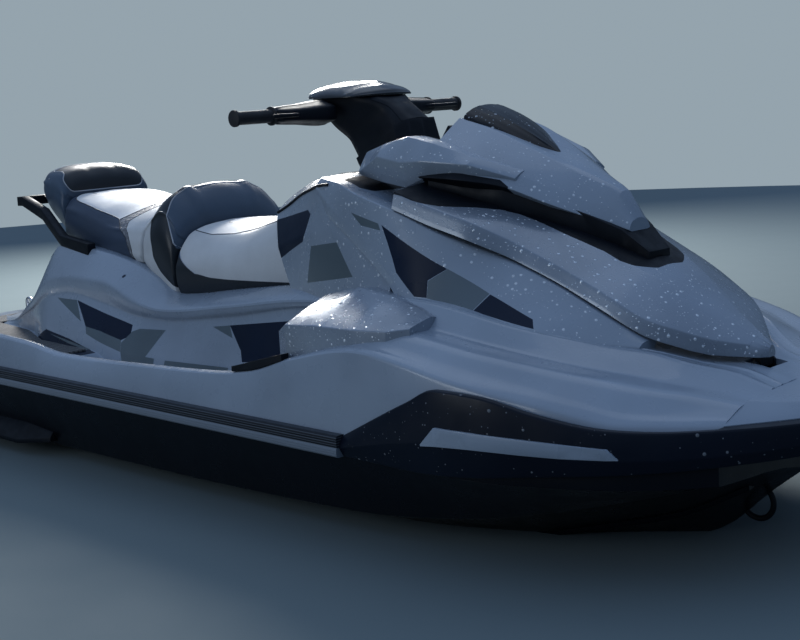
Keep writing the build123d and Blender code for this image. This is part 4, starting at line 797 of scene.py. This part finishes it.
# Copy of the light seat vinyl, darker for faces turned from the light: painted shade
SEAT_SHADED = vinyl("seat_shaded", (0.63, 0.64, 0.65))
SEAT_BLUE = vinyl("seat_blue", (0.05, 0.08, 0.125))
SEAT_SLATE = vinyl("seat_slate", (0.030, 0.048, 0.085), 0.4)
SEAT_KNIT = vinyl("seat_knit", (0.26, 0.27, 0.30), 0.5, knit=0.8)
SEAT_DARK = vinyl("seat_dark", (0.008, 0.012, 0.018), 0.36)
SEAM = moulded("seam_bead", (0.02, 0.025, 0.035))
SEAM_LIGHT = moulded("seam_light", (0.34, 0.36, 0.40), 0.42)
RUBBER = moulded("rubber", (0.01, 0.01, 0.012), 0.62, 0.5, 700.0)
GLOSS_BLACK = paint("gloss_black", (0.008, 0.009, 0.012), 0.1, rough=0.16)
CAST = metal("cast_alloy", (0.56, 0.57, 0.58), 0.42, True)
STEEL = metal("stainless_steel", (0.68, 0.68, 0.7), 0.26)
RAIL = rail_rubber()
MAT_FOAM = mat_foam()
SMOKED = smoked("visor_smoke", 0.35, 0.0, DULL)
SCREEN = smoked("screen_glass", 0.0, 0.1, 0.5)
MIRROR = mirror_face()

# Body and slot of the pieces
SILVER, METALLIC = ("root", "shell_silver"), ("hood", "shell_metallic")
BLACK, TRIMMED, STEERED = ("root", "hull_black"), ("root", "trim_black"), ("steering", "trim_black")


# Hull
def hull_half(row):
    """Bottom with its chine, up to the seam."""
    x, keel_z, pad_y, chine_y, chine_z = row
    edge = flange_y(x)
    return [(0, keel_z), (pad_y, keel_z), (chine_y, chine_z),
            (chine_y + 0.3 * (edge - chine_y), chine_z + 8), (edge, SEAM_Z), (0, SEAM_Z)]


DUCT = [(499, 57), (620, -20), (1060, -20), (1060, 22), (800, 123), (620, 205), (499, 213)]
SHAFT_Z, SHAFT_BORE = 135, 17
hull = loft("hull_shell", HULL, hull_half, [0, 50, 3, 5, 0.5, 0], [0, 0, 0, 1, 0], 30.0)
cut_box(hull, 80, 500, 150, -20, 310)
cut(hull, DUCT, 78)
cut_box(hull, 1105, 1655, 205, 85, 400)
bore = [(SHAFT_BORE * math.cos(t), SHAFT_Z + SHAFT_BORE * math.sin(t))
        for t in np.linspace(0, 2 * math.pi, 16, endpoint=False)]
carve(hull, tube_of("cutter", [[(x, y, z) for y, z in bore] for x in (600, 1150)]))
finish(coat(hull, BLACK_GEL), 24, *BLACK, "hull")


def strake_ring(row):
    x, keel_z, pad_y, chine_y, chine_z = row
    y = pad_y + 0.55 * (chine_y - pad_y)
    slope = (chine_z - keel_z) / (chine_y - pad_y)
    z = keel_z + slope * (y - pad_y)
    return [(y - 22, z - slope * 22 + 0.5), (y, z - 12), (y + 2, z + 1), (y - 10, z - slope * 10 + 6)]


for side, label in SIDES:
    strake = loft("strake_" + label, HULL[1:-1], strake_ring, [1, 3, 2, 1], [0] * 4, 40.0, side)
    finish(coat(strake, BLACK_GEL), 35, *BLACK)


def rail_ring(row):
    steps = ((-1, 365.3), (21, 365.3), (25, 369), (25, 385), (21.5, 388), (24, 391), (24, 398), (22, 400), (24, 402),
             (24, 408), (20, 414.7), (-1, 414.7))
    return [(flange_y(row[0]) + out, z) for out, z in steps]


rails = [loft("rail_" + label, [row for row in PLAN if row[0] <= BUMPER[0][0]], rail_ring,
              [0, 2, 2, 2, 1, 2, 1, 1, 1, 2, 3, 0], [0] * 12, 30.0, side, 2, 0) for side, label in SIDES]
finish(coat(join("rub_rail_skin", *rails), RAIL), 40, *TRIMMED, "rub_rail")


# Deck
def deck_half(row):
    """Gunwale and lip, footwell floor, then crease, bulge and top of the pedestal."""
    edge = flange_y(row[0])
    out_y, in_y, floor_z = row[5:8]
    return [(0, SEAM_Z), (edge, SEAM_Z), (edge, RAIL_TOP), *couples(row[1:5]), (out_y, floor_z), (in_y, floor_z),
            *couples(row[8:14]), (0, row[14])]


def deck_radii(x):
    front = min(1.0, max(0.0, (x - 2030) / 300.0))
    return [0, 1, 1, 9, 9 + 4 * front, 5 + 12 * front, 5 + 6 * front, 4, 12, 8, 60]


DECK_DARK = [
    [(858, 568), (1156, 515), (1157, 485), (1118, 469), (1015, 489), (933, 496)],
    [(1619, 551), (1836, 579), (1990, 598), (1990, 492), (1870, 480), (1696, 462), (1684, 491)],
    [(594, 425), (695, 467), (850, 452), (1020, 428), (1020, 420), (594, 420)],
]
DECK_GREY = [
    [(734, 567), (855, 568), (902, 507)],
    [(933, 496), (1015, 489), (1118, 469), (1125, 436), (945, 475)],
    [(1162, 497), (1195, 507), (1320, 513), (1248, 433), (1126, 435), (1120, 462)],
    [(1126, 436), (1293, 432), (1293, 372), (1160, 372)],
    [(1345, 432), (1640, 442), (1640, 372), (1345, 372)],
    [(1541, 541), (1619, 551), (1640, 519)],
    [(722, 456), (776, 452), (990, 434), (960, 430), (850, 438)],
]
DRAIN = [(1068, 650), (1071, 654), (1076, 654), (1079, 650), (1076, 646), (1071, 646)]
UNDER_BUMPER = [(2367, 360), (3200, 360), (3200, 440), (2576, 400), (2367, 392)]
deck = loft("deck_shell", DECK, deck_half, deck_radii, [0, 0, 2, 1, 0, 0, 1, 2, 2, 1], 30.0)
cut_box(deck, 2360, 2740, 195, 400, 900)
cut_box(deck, 1105, 1655, 205, 340, 760)
cut_box(deck, 3030, 3094, 38, 500, 640)
coat(deck, WHITE, PATCH_DARK, PATCH_GREY, BLACK_GEL)
for index, outlines in ((1, DECK_DARK), (2, DECK_GREY)):
    for outline in outlines:
        mark(deck, outline, index, either(270, 400))
# A small hole drawn as a dark mark: painted shade for the opening
mark(deck, DRAIN, 1, either(200, 300))
mark(deck, UNDER_BUMPER, 3)
finish(deck, 24, *SILVER, "deck")


def nose_half(row):
    return [(0, 480), (row[1], 480), *couples(row[1:5]), (0, row[5])]


nose = loft("deck_nose", DECK_NOSE, nose_half, [0, 0, 1, 8, 40], [0, 0, 1, 1], 20.0)
finish(coat(nose, WHITE), 24, *SILVER)


# Bumpers
def bumper_ring(row):
    x, outer, low, crease, high = row
    inner = flange_y(x) - 1.0
    return [(inner, low), (outer - 14, low), (outer, crease), (outer - 14, high), (inner, high)]


def bow_half(row):
    x, outer, low, crease, high = row
    lip = min(14.0, outer / 4)
    return [(0, low), (outer - lip, low), (outer, crease), (outer - lip, high), (0, high)]


for side, label in SIDES:
    bumper = loft("bumper_skin_" + label, BUMPER, bumper_ring, [1, 5, 3, 5, 1], [0, 0, 1, 0, 0], 20.0, side)
    finish(coat(bumper, TRIM_WET), 30, *TRIMMED, "bumper_" + label)
bumper = loft("bow_bumper_skin", BOW_BUMPER, bow_half, [0, 5, 3, 6, 0], [0, 0, 1, 0], 12.0)
finish(coat(bumper, TRIM_WET), 30, *TRIMMED, "bow_bumper")


# Console, pods and side cowls
def console_half(row):
    """Base, side, shoulder and top."""
    return [(0, row[2] - 50), (row[1], row[2] - 50), *couples(row[1:9]), (0, row[9])]


SEAT_FOOT, SEAT_HEAD = (1835.0, 650.0), (1711.0, 820.0)
# Side outline whose front edge is the leaning plane through both, 0.3 mm ahead of the seat
BEHIND_JOINT = [(2207.3, 140), (1339.3, 1330), (739.3, 1330), (1607.3, 140)]
LID_FRONT, LID_REAR = np.array((1870.0, 945.9)), np.array((1748.0, 921.7))
lid_size = float(np.linalg.norm(LID_FRONT - LID_REAR))
lid_run = (LID_FRONT - LID_REAR) / lid_size
lid_up = np.array([-lid_run[1], lid_run[0]])


def by_lid(*spots):
    """Craft x and z from distances ahead of the hinge line and above the lid's top."""
    return [tuple(map(float, LID_FRONT + lid_run * along + lid_up * above)) for along, above in spots]


console = loft("console_shell", CONSOLE, console_half, [0, 2, 2, 10, 7, 10, 50], [0, 0, 1, 1, 1, 2], arc=4, fill=3)
cut(console, BEHIND_JOINT, 400)
cut(console, by_lid((-lid_size - 5, -10.3), (0, -11), (4.2, -9.2), (6, -5), (4.2, -0.8), (0.5, 1), (0.5, 40),
                    (-lid_size - 5, 40)), 97)
cut(console, by_lid((12 - lid_size, -90), (-12, -90), (-12, 0), (12 - lid_size, 0)), 80)
coat(console, WET, PATCH_DARK, PATCH_GREY, TRIM)
for index, outline in (
        (3, [(2040, 958), (2055, 943), (2157, 916), (2330, 903), (2330, 1010), (2040, 1010)]),
        (1, [(1690, 825), (1912, 866), (1937, 857), (1906, 786), (1830, 757), (1760, 728), (1690, 728)]),
        (2, [(1955, 779), (2083, 797), (2148, 717), (1927, 683)])):
    mark(console, outline, index, either(150))
finish(console, 24, *SILVER, "console")
edge_rows = [(x, at(CONSOLE, x, 5), at(CONSOLE, x, 6)) for x in np.linspace(1700, 2030, 24)]
piping("console_edge", [[put(x, side * (y + 1), z) for x, y, z in edge_rows] for side, label in SIDES], 4.0, TRIM,
       "trim_black")


def pod_ring(row):
    x, inner_y, outer_y, base_z, side_z, crown_y, crown_z = row
    back, base = inner_y - 60, base_z - 60
    return [(back, base), (outer_y, base), (outer_y, side_z), (crown_y, crown_z), (back, crown_z - 20)]


def cowl_ring(row):
    x, foot_y, foot_z, head_y, head_z = row
    low = foot_z - 30
    return [(foot_y - 40, low), (foot_y, low), (foot_y, foot_z), (head_y, head_z), (head_y - 40, head_z)]


COWL_MARKS = (
    (1, [(2267, 847), (2468, 754), (2429, 729), (2436, 692), (2401, 693), (2330, 742)]),
    (1, [(2581, 702), (2701, 656), (2715, 639), (2561, 669)]),
    (2, [(2469, 754), (2579, 703), (2560, 670), (2437, 691), (2430, 728)]),
    (2, [(2149, 872), (2255, 850), (2264, 834), (2190, 843)]),
)
for side, label in SIDES:
    pod = loft("side_pod_skin_" + label, SIDE_POD, pod_ring, [0, 2, 4, 3, 1], [0, 0, 0.5, 0, 0], side=side,
               spread=linear)
    # The side pod takes the darker hood paint: painted shade cast by the console and handlebar
    finish(coat(pod, HOOD_PAINT), 14, *SILVER, "side_pod_" + label)
    cowl = loft("side_cowl_skin_" + label, SIDE_COWL, cowl_ring, [0, 3, 6, 5, 0], [0, 0, 1.5, 0.5, 0], side=side)
    coat(cowl, WET, PATCH_DARK, PATCH_GREY)
    for index, outline in COWL_MARKS:
        mark(cowl, outline, index, either(200))
    finish(cowl, 28, *SILVER, "side_cowl_" + label)


# Hood
WALL = 16.0


def hood_ring(row):
    """Outer arch and inner arch in one closed ring."""
    outer = skirt, chamfer, ridge, middle = [*couples(row[1:7]), (0, row[7])]
    inner = [(skirt[0] - WALL, skirt[1]), (chamfer[0] - WALL, chamfer[1] - WALL), (ridge[0], ridge[1] - WALL),
             (0, middle[1] - WALL)]
    return outer + [(-y, z) for y, z in outer[-2::-1]] + [(-y, z) for y, z in inner] + inner[-2::-1]


HOOD_RADII = [2, 3, 3, 30, 3, 3, 2]
HOOD_CROWN = [0, 1, 1, 1, 1, 0, 0, 0, -1, -1, -1, -1, 0, 0]
HOOD_DARK = [
    (2260, 925), (2321, 914), (2351, 904), (2413, 889), (2467, 881), (2504, 873), (2540, 861), (2594, 839),
    (2643, 818), (2690, 798), (2735, 778), (2773, 758), (2801, 746), (2828, 737), (2822, 775), (2780, 900),
    (2500, 1010), (2260, 1010),
]
HOOD_TIP = [
    (3034, 561, 67, 561, 62, 590, 24, 604, 608), (3050, 558, 52, 558, 42, 584, 18, 594, 598),
    (3066, 555, 34, 555, 28, 576, 14, 585, 589), (3078, 554, 14, 554, 12, 570, 8, 576, 580),
]
hood = coat(loft("hood_skin", HOOD, hood_ring, HOOD_RADII * 2, HOOD_CROWN, side=1, fill=3), HOOD_PAINT, TRIM)
mark(hood, HOOD_DARK, 1)
finish(hood, 14, *METALLIC, "hood")


def tip_half(row):
    return [(0, row[1]), *couples(row[2:8]), (0, row[8])]


tip = loft("hood_tip", HOOD_TIP, tip_half, [0, 3, 6, 6, 20], [0, 1, 1, 1], 8.0)
finish(coat(tip, HOOD_PAINT), 30, *METALLIC)
barrel = [(3056 + 10 * math.sin(t), 538 - 10 * math.cos(t)) for t in np.linspace(-math.pi / 2, math.pi / 2, 13)]
lug = coat(prism("hood_lug", [(3046, 566)] + barrel + [(3066, 566)], -25, 25), TRIM)
edges(lug, 0.001)
finish(lug, 0, *METALLIC)


def upper_half(row):
    """Base, then lower edge, upper edge and ridge."""
    return [(0, row[1]), (max(row[2] - 34, 3), row[1]), *couples(row[2:8]), (0, row[8])]


def visor_half(row):
    return [(0, row[2] - 60), (row[1], row[2] - 60), *couples(row[1:5]), (0, row[5])]


def mirror_ring(row):
    x, inner_y, outer_y, low_z, outer_z, top_z = row
    return [(inner_y, low_z), (outer_y - 20, low_z), (outer_y, outer_z), (outer_y - 34, top_z), (inner_y, top_z - 4)]


cowl = loft("upper_cowl_skin", UPPER_COWL, upper_half, [0, 2, 3, 3, 4, 40], [0, 0, 0.5, 1, 1], 20.0, arc=4, fill=3)
coat(cowl, WET, TRIM)
mark(cowl, [(2290, 900), (2290, 966), (2420, 958), (2500, 940), (2522, 924), (2522, 880)], 1, either(150))
finish(cowl, 14, *METALLIC, "upper_cowl")
visor = loft("visor_skin", VISOR, visor_half, [0, 1, 5, 14, 30], [0, 0, 1, 1], 14.0, arc=4, fill=3)
finish(coat(visor, SMOKED), 40, "hood", "visor_smoke", "visor")
for side, label in SIDES:
    pod = loft("mirror_pod_skin_" + label, MIRROR_POD, mirror_ring, [0, 4, 4, 4, 1], [0, 0.5, 1, 1, 0], 14.0, side,
               spread=linear)
    finish(coat(pod, WET), 12, *METALLIC, "mirror_pod_" + label)

# Handlebar
COLUMN_X, COLUMN_Z, TILT = 1984.0, 1025.0, math.radians(30)
BAR_X, BAR_Z, NECK_TOP = 1830, 1106, 1142


def in_column(x, y, height):
    """Steering frame to craft millimetres."""
    return (COLUMN_X + x * math.cos(TILT) - height * math.sin(TILT), y,
            COLUMN_Z + x * math.sin(TILT) + height * math.cos(TILT))


rings = []
for height, back, front, half, corner in dense(NECK, 8.0):
    outline = [(front, half - corner), (front - corner, half), (back + corner, half), (back, half - corner)]
    outline += [(x, -y) for x, y in outline[::-1]]
    rings.append([in_column(x, y, height) for x, y in rounded(outline, [corner * 0.8] * 8, [2] * 8)])
neck = tube_of("neck_shroud", rings)
cut_box(neck, 1400, 2300, 300, NECK_TOP, 1500)
finish(coat(neck, TRIM), 40, *STEERED, "handlebar_neck")

rings = []
for y, back, front, high in dense(COVER, 8.0):
    low, a, b = NECK_TOP + 0.3, BAR_X + back, BAR_X + front
    slope, soft = min(1.0, high / 20), min(1.0, high / 12)
    outline = [(a, low), (b, low), (b - 4, low + high / 2), (b - 60 * slope - 10, low + high + 10 * slope),
               (a + 16, low + high + 4 * slope), (a, low + 0.6 * high)]
    radii = [2, 3, 14 * soft, 34, 22 * soft, 8 * soft]
    rings.append([(x, y, z) for x, z in rounded(outline, radii, [0, 1, 2, 3, 3, 1], 4, 3)])
finish(coat(tube_of("bar_cover", rings), GLOSS_BLACK), 38, *STEERED, "bar_pad")

HOUSING = (
    (114, 30), (118, 34), (128, 35), (150, 34), (180, 31), (206, 28), (240, 26), (270, 24), (281, 22), (284.7, 19),
)
HOUSING_RING = ((-25, 0), (-17, 18), (0, 25), (20, 20), (44, 12), (45, -13), (20, -20), (0, -25), (-17, -18))
LEVER_X, LEVER_Y = 1867.5, 204.7
for side, label, node_name, reach in ((1, "port", "switch_housing_port", 144),
                                      (-1, "starboard", "throttle_housing_starboard", 120)):
    rings = []
    for y, size in HOUSING:
        outline = [(x * size / 25, z * size / 25) for x, z in HOUSING_RING]
        ring = rounded(outline, [9, 9, 9, 8, 4, 4, 8, 9, 9], [1] * 9, 2, 1)
        rings.append([(BAR_X + x, side * y, BAR_Z + z) for x, z in ring])
    body = tube_of("housing", rings)
    outline = [(0, 20), (26, 44), (22, reach), (17, reach + 4), (12, reach), (4, 60)]
    lever = tube_of("lever", [[(LEVER_X + x, side * (LEVER_Y + y), BAR_Z + h) for x, y in outline] for h in (-5, 5)])
    edges(lever, 0.0035, 3, 50, False)
    bake(lever)
    finish(coat(join("housing_skin_" + label, body, lever), TRIM), 45, *STEERED, node_name)


# Seats
def seat_half(row):
    """Base, side and edge."""
    return [(0, row[2]), *couples(row[1:7]), (0, row[7])]


def seat_rings(table, radii, crowns, step=12.0):
    """Rings of a cushion as an array of stations, points and craft coordinates."""
    return np.array(loft_rings(table, seat_half, radii, crowns, step, fill=6))


def leaning(rings, foot, head, count):
    """The same surface with its last station in the leaning plane of the console."""
    lean = (head[0] - foot[0]) / (head[1] - foot[1])
    made = np.zeros((count, rings.shape[1], 3))
    for i in range(rings.shape[1]):
        x, y, z = rings[:, i].T
        past = x - (foot[0] + (z - foot[1]) * lean)
        k = max(1, int(np.argmax(past > 0)))
        end = x[k - 1] + (x[k] - x[k - 1]) * -past[k - 1] / (past[k] - past[k - 1])
        wanted = np.linspace(x[0], end, count)
        made[:, i] = np.stack([wanted, np.interp(wanted, x, y), np.interp(wanted, x, z)], axis=1)
    return made


def cushion(name, rings, mats, node_name, seams=(), cap=0.008):
    """Padded cover: swollen by cloth pressure between its base, ends and seam lines, then made finer."""
    obj = coat(tube_of(name, rings), *mats)
    marks = positions(obj.data) * 1000 + np.array([ORIGIN_X, 0, ORIGIN_Z])
    low = np.interp(marks[:, 0], rings[:, :, 0].mean(axis=1), rings[:, :, 2].min(axis=1))
    held = marks[:, 2] < low + BASE_HELD
    for ring in (rings[0], rings[-1]):
        held |= np.min(np.linalg.norm(marks[:, None] - ring[None], axis=2), axis=1) < END_HELD
    if seams:
        held |= (seam_distance(marks, seams) < SEAM_HELD) & (np.abs(marks[:, 1]) > 60)
    inflate(obj, np.nonzero(held)[0], cap)
    change = obj.modifiers.new("finer", "SUBSURF")
    change.levels = change.render_levels = 1
    bake(obj)
    soften(obj)
    finish(obj, 0, "root", "seat_vinyl", node_name)
    return obj


# Seam lines and panels, as craft x and z
PANEL = [(1240, 786), (1276, 782), (1390, 775), (1487, 780), (1582, 797), (1684, 822), (1760, 852)]
BAND_OUT = [
    (1200, 930), (1194, 885), (1182, 862), (1150, 815), (1150, 780), (1165, 740), (1170, 707), (1198, 667),
    (1245, 635), (1278, 616), (1309, 611), (1421, 620), (1608, 636), (1850, 656),
]
BAND_IN = [
    (1850, 667), (1815, 665), (1644, 661), (1524, 660), (1445, 661), (1376, 670), (1333, 688), (1276, 717),
    (1263, 757), (1248, 791), (1227, 829), (1214, 868), (1210, 885), (1212, 930),
]
BAND = BAND_OUT + BAND_IN
BASE_BAND = [(1276, 560), (1900, 560), (1900, 656)] + BAND_OUT[:8:-1] + [(1276, 617)]
CRESCENT = [
    (1270, 900), (1284, 795), (1285, 777), (1278, 760), (1282, 733), (1302, 707), (1340, 688), (1392, 665),
    (1376, 670), (1333, 688), (1276, 717), (1270, 717),
]
CHEEK = PANEL + [(1900, 852), (1900, 560), (1240, 560)]
DISC = [(1212, 990)] + BAND_IN[:6:-1] + [(1310, 700), (1310, 990)]
SLATE_TOP = [
    (600, 884), (645, 866), (747, 849), (849, 824), (922, 805), (966, 779), (1010, 753), (1024, 720), (1038, 696),
    (1066, 681),
]
SLATE = SLATE_TOP + [(1066, 640), (600, 640)]
KNIT_FRONT = [(1045, 702), (1034, 742), (1012, 769), (976, 801), (1006, 830), (1040, 866), (1066, 930)]
KNIT = [(1012, 930), (990, 866), (958, 830)] + SLATE_TOP[4:] + [(1080, 676)] + KNIT_FRONT
REAR_CHEEK = [(1080, 560)] + KNIT_FRONT + [(1110, 930), (1110, 560)]
PAD_FRONT = 505
PAD_EDGE = [(-134, 884), (-148, 900), (-150, 925), (-128, 950), (-90, 985)]
PAD = PAD_EDGE + [(-y, z) for y, z in PAD_EDGE[::-1]]

front_rings = leaning(seat_rings(FRONT_SEAT, [0, 6, 26, 20, 60], [0, 4, 4, 4]), SEAT_FOOT, SEAT_HEAD, 46)
front = cushion("front_seat_cover", front_rings, (SEAT_LIGHT, SEAT_SHADED, SEAT_DARK, SEAT_BLUE), "front_seat",
                [PANEL, BAND_IN[1:8]])
# Side panels in the darker copy of the seat vinyl: painted shade
mark(front, CHEEK, 1, either(90))
mark(front, BAND, 2)
mark(front, BASE_BAND, 2)
mark(front, CRESCENT, 3)
# The backrest's light vinyl is the darker copy: painted shade
rest = cushion("backrest_cover", seat_rings(BACKREST, [0, 6, 90, 100, 120], [0, 4, 5, 8]),
               (SEAT_SHADED, SEAT_DARK, SEAT_BLUE), "driver_backrest", [BAND_OUT[1:10], BAND_IN[7:13]])
mark(rest, BAND, 1)
mark(rest, DISC, 2)
rear = cushion("rear_seat_cover", seat_rings(REAR_SEAT, [0, 6, 26, 22, 60], [0, 4, 4, 4]),
               (SEAT_LIGHT, SEAT_SHADED, SEAT_SLATE, SEAT_KNIT), "rear_seat", [SLATE[:6], KNIT[3:9]])
mark(rear, SLATE, 2, either(60))
mark(rear, KNIT, 3)
# Rear cheek in the darker copy of the seat vinyl: painted shade
mark(rear, REAR_CHEEK, 1)
bolster = cushion("bolster_cover", seat_rings(BOLSTER, [0, 6, 26, 26, 50], [0, 3, 4, 4], 9.0),
                  (SEAT_BLUE, SEAT_DARK), "rear_bolster", cap=0.006)
# The first cut gives the pad a straight front edge
mark(bolster, [(PAD_FRONT, -190), (640, -190), (640, 190), (PAD_FRONT, 190)], 0, lambda x, y, z: z > 880, "xy")
mark(bolster, PAD, 1, lambda x, y, z: x > PAD_FRONT, "yz")

for piece, pairs, mat, radius, name in (
        (front, [(0, 1)], SEAM, 1.5, "front_panel_seam"),
        (front, [(1, 2), (0, 2), (2, 3)], SEAM, 1.2, "front_band_seam"),
        # Piping round the lower disc, light in colour as a painted highlight on its rim
        (front, [(1, 3), (0, 3)], SEAM_LIGHT, 1.4, "crescent_seam"),
        (rest, [(0, 1)], SEAM, 1.2, "rest_band_seam"),
        # Piping round the disc, light in colour as a painted highlight on its rim
        (rest, [(1, 2), (0, 2)], SEAM_LIGHT, 2.0, "disc_rim"),
        (rear, [(0, 2), (2, 3)], SEAM, 1.6, "rear_panel_seam"),
        (rear, [(0, 3), (1, 3)], SEAM, 1.3, "rear_band_seam"),
        (bolster, [(0, 1)], SEAM_LIGHT, 2.0, "bolster_rim")):
    piping(name, seam_chains(piece, pairs), radius, mat)
for piece in (front, rest, rear, bolster):
    piece.data.set_sharp_from_angle(angle=math.radians(50))
# A light bead down the front edge of the seat: a painted highlight of the lit edge
for side, label in SIDES:
    run = sorted((p for p in front_rings[-1] if p[2] > 668 and side * p[1] > 40), key=lambda p: p[2])
    piping("seat_edge_" + label, [[put(x - 4, y, z) for x, y, z in run]], 4.5, SEAM_LIGHT)

# Nodes kept from the frame
dress(TRIM, 0.0015, "steering_base", "bucket_brackets", "step_brackets", "display_pod", "cowl_recess", "grab_handle",
      "reverse_bucket", "bow_eye", "sponsons", "cleats")
dress(TRIM, 0.001, "hood_hinge")
dress(TRIM, 0.003, "glovebox_lid")
dress(TRIM, 0, "handlebar")
dress(WHITE, 0.002, "bumper_inserts")
dress(MAT_FOAM, 0.002, "platform_mat", "footwell_mats")
dress(CAST, 0.001, "pump_housing", "steering_nozzle", "impeller", "ride_plate", "intake_grate", "engine")
dress(STEEL, 0, "stern_eyes", "tow_eye", "reboarding_step")
dress(RUBBER, 0.001, "grip_port", "grip_starboard")
dress(SCREEN, 0.001, "display_glass")
dress(MIRROR, 0, "mirror_glasses")

# Stage
FLOOR_RADIUS, FLOOR_SIDES = 9, 96
ground = bpy.data.meshes.new("floor")
turns = np.linspace(0, 2 * math.pi, FLOOR_SIDES, endpoint=False)
ground.from_pydata([(FLOOR_RADIUS * math.cos(t), FLOOR_RADIUS * math.sin(t), 0.0) for t in turns], [],
                   [tuple(range(FLOOR_SIDES))])
floor = coat(show("floor", ground), stage_tone("floor_tone", (0.14, 0.18, 0.19), 0.9))

world = bpy.data.worlds.new("studio")
SCENE.world = world
world.use_nodes = True
sky = Graph(world.node_tree)
seen = sky.add("LightPath", {})["Is Camera Ray"]
height = sky.axis("Z", sky.add("TexCoord", {})["Generated"])
dome = sky.mix(sky.remap(height, 0.05, 0.75, curve="LINEAR"), (0.035, 0.055, 0.075), (0.26, 0.38, 0.60))
sky.feed(world.node_tree.nodes["Background"].inputs["Color"], sky.mix(seen, dome, (0.30, 0.37, 0.42)))


def softbox(name, spot, aim, size, power, color):
    """Rectangular lamp aimed at a point."""
    lamp = bpy.data.lights.new(name, "AREA")
    lamp.shape = "RECTANGLE"
    lamp.size, lamp.size_y = size
    lamp.energy = power
    lamp.color = color
    obj = show(name, lamp)
    obj.location = spot
    obj.rotation_euler = (Vector(aim) - Vector(spot)).to_track_quat("-Z", "Y").to_euler()


softbox("sun_side", (-4.4, 3.4, 3.2), (0.0, 0, 0.5), (2.2, 1.8), 470, (1, 0.985, 0.95))
softbox("overhead", (-0.4, 1.2, 4.4), (0.1, 0, 0.4), (4.0, 2.4), 10, (0.9, 0.96, 1))
softbox("near_side", (-0.6, -5.2, 1.9), (0.0, 0, 0.4), (3.5, 1.6), 42, (0.82, 0.91, 1))

# Camera
CAMERA_AT, LENS, SENSOR = (2.8959, -2.5906, 1.0171), 62.46, 36.0
HEADING, PITCH, ROLL = 45.24, 9.45, -3.18
lens = bpy.data.cameras.new("camera")
lens.lens = LENS
lens.sensor_width = SENSOR
camera = show("camera", lens)
turns = ((HEADING, "Z"), (90 - PITCH, "X"), (ROLL, "Z"))
heading, pitch, roll = (Matrix.Rotation(math.radians(angle), 4, axis) for angle, axis in turns)
camera.matrix_world = Matrix.Translation(CAMERA_AT) @ heading @ pitch @ roll
SCENE.camera = camera
SCENE.view_settings.view_transform = "Standard"
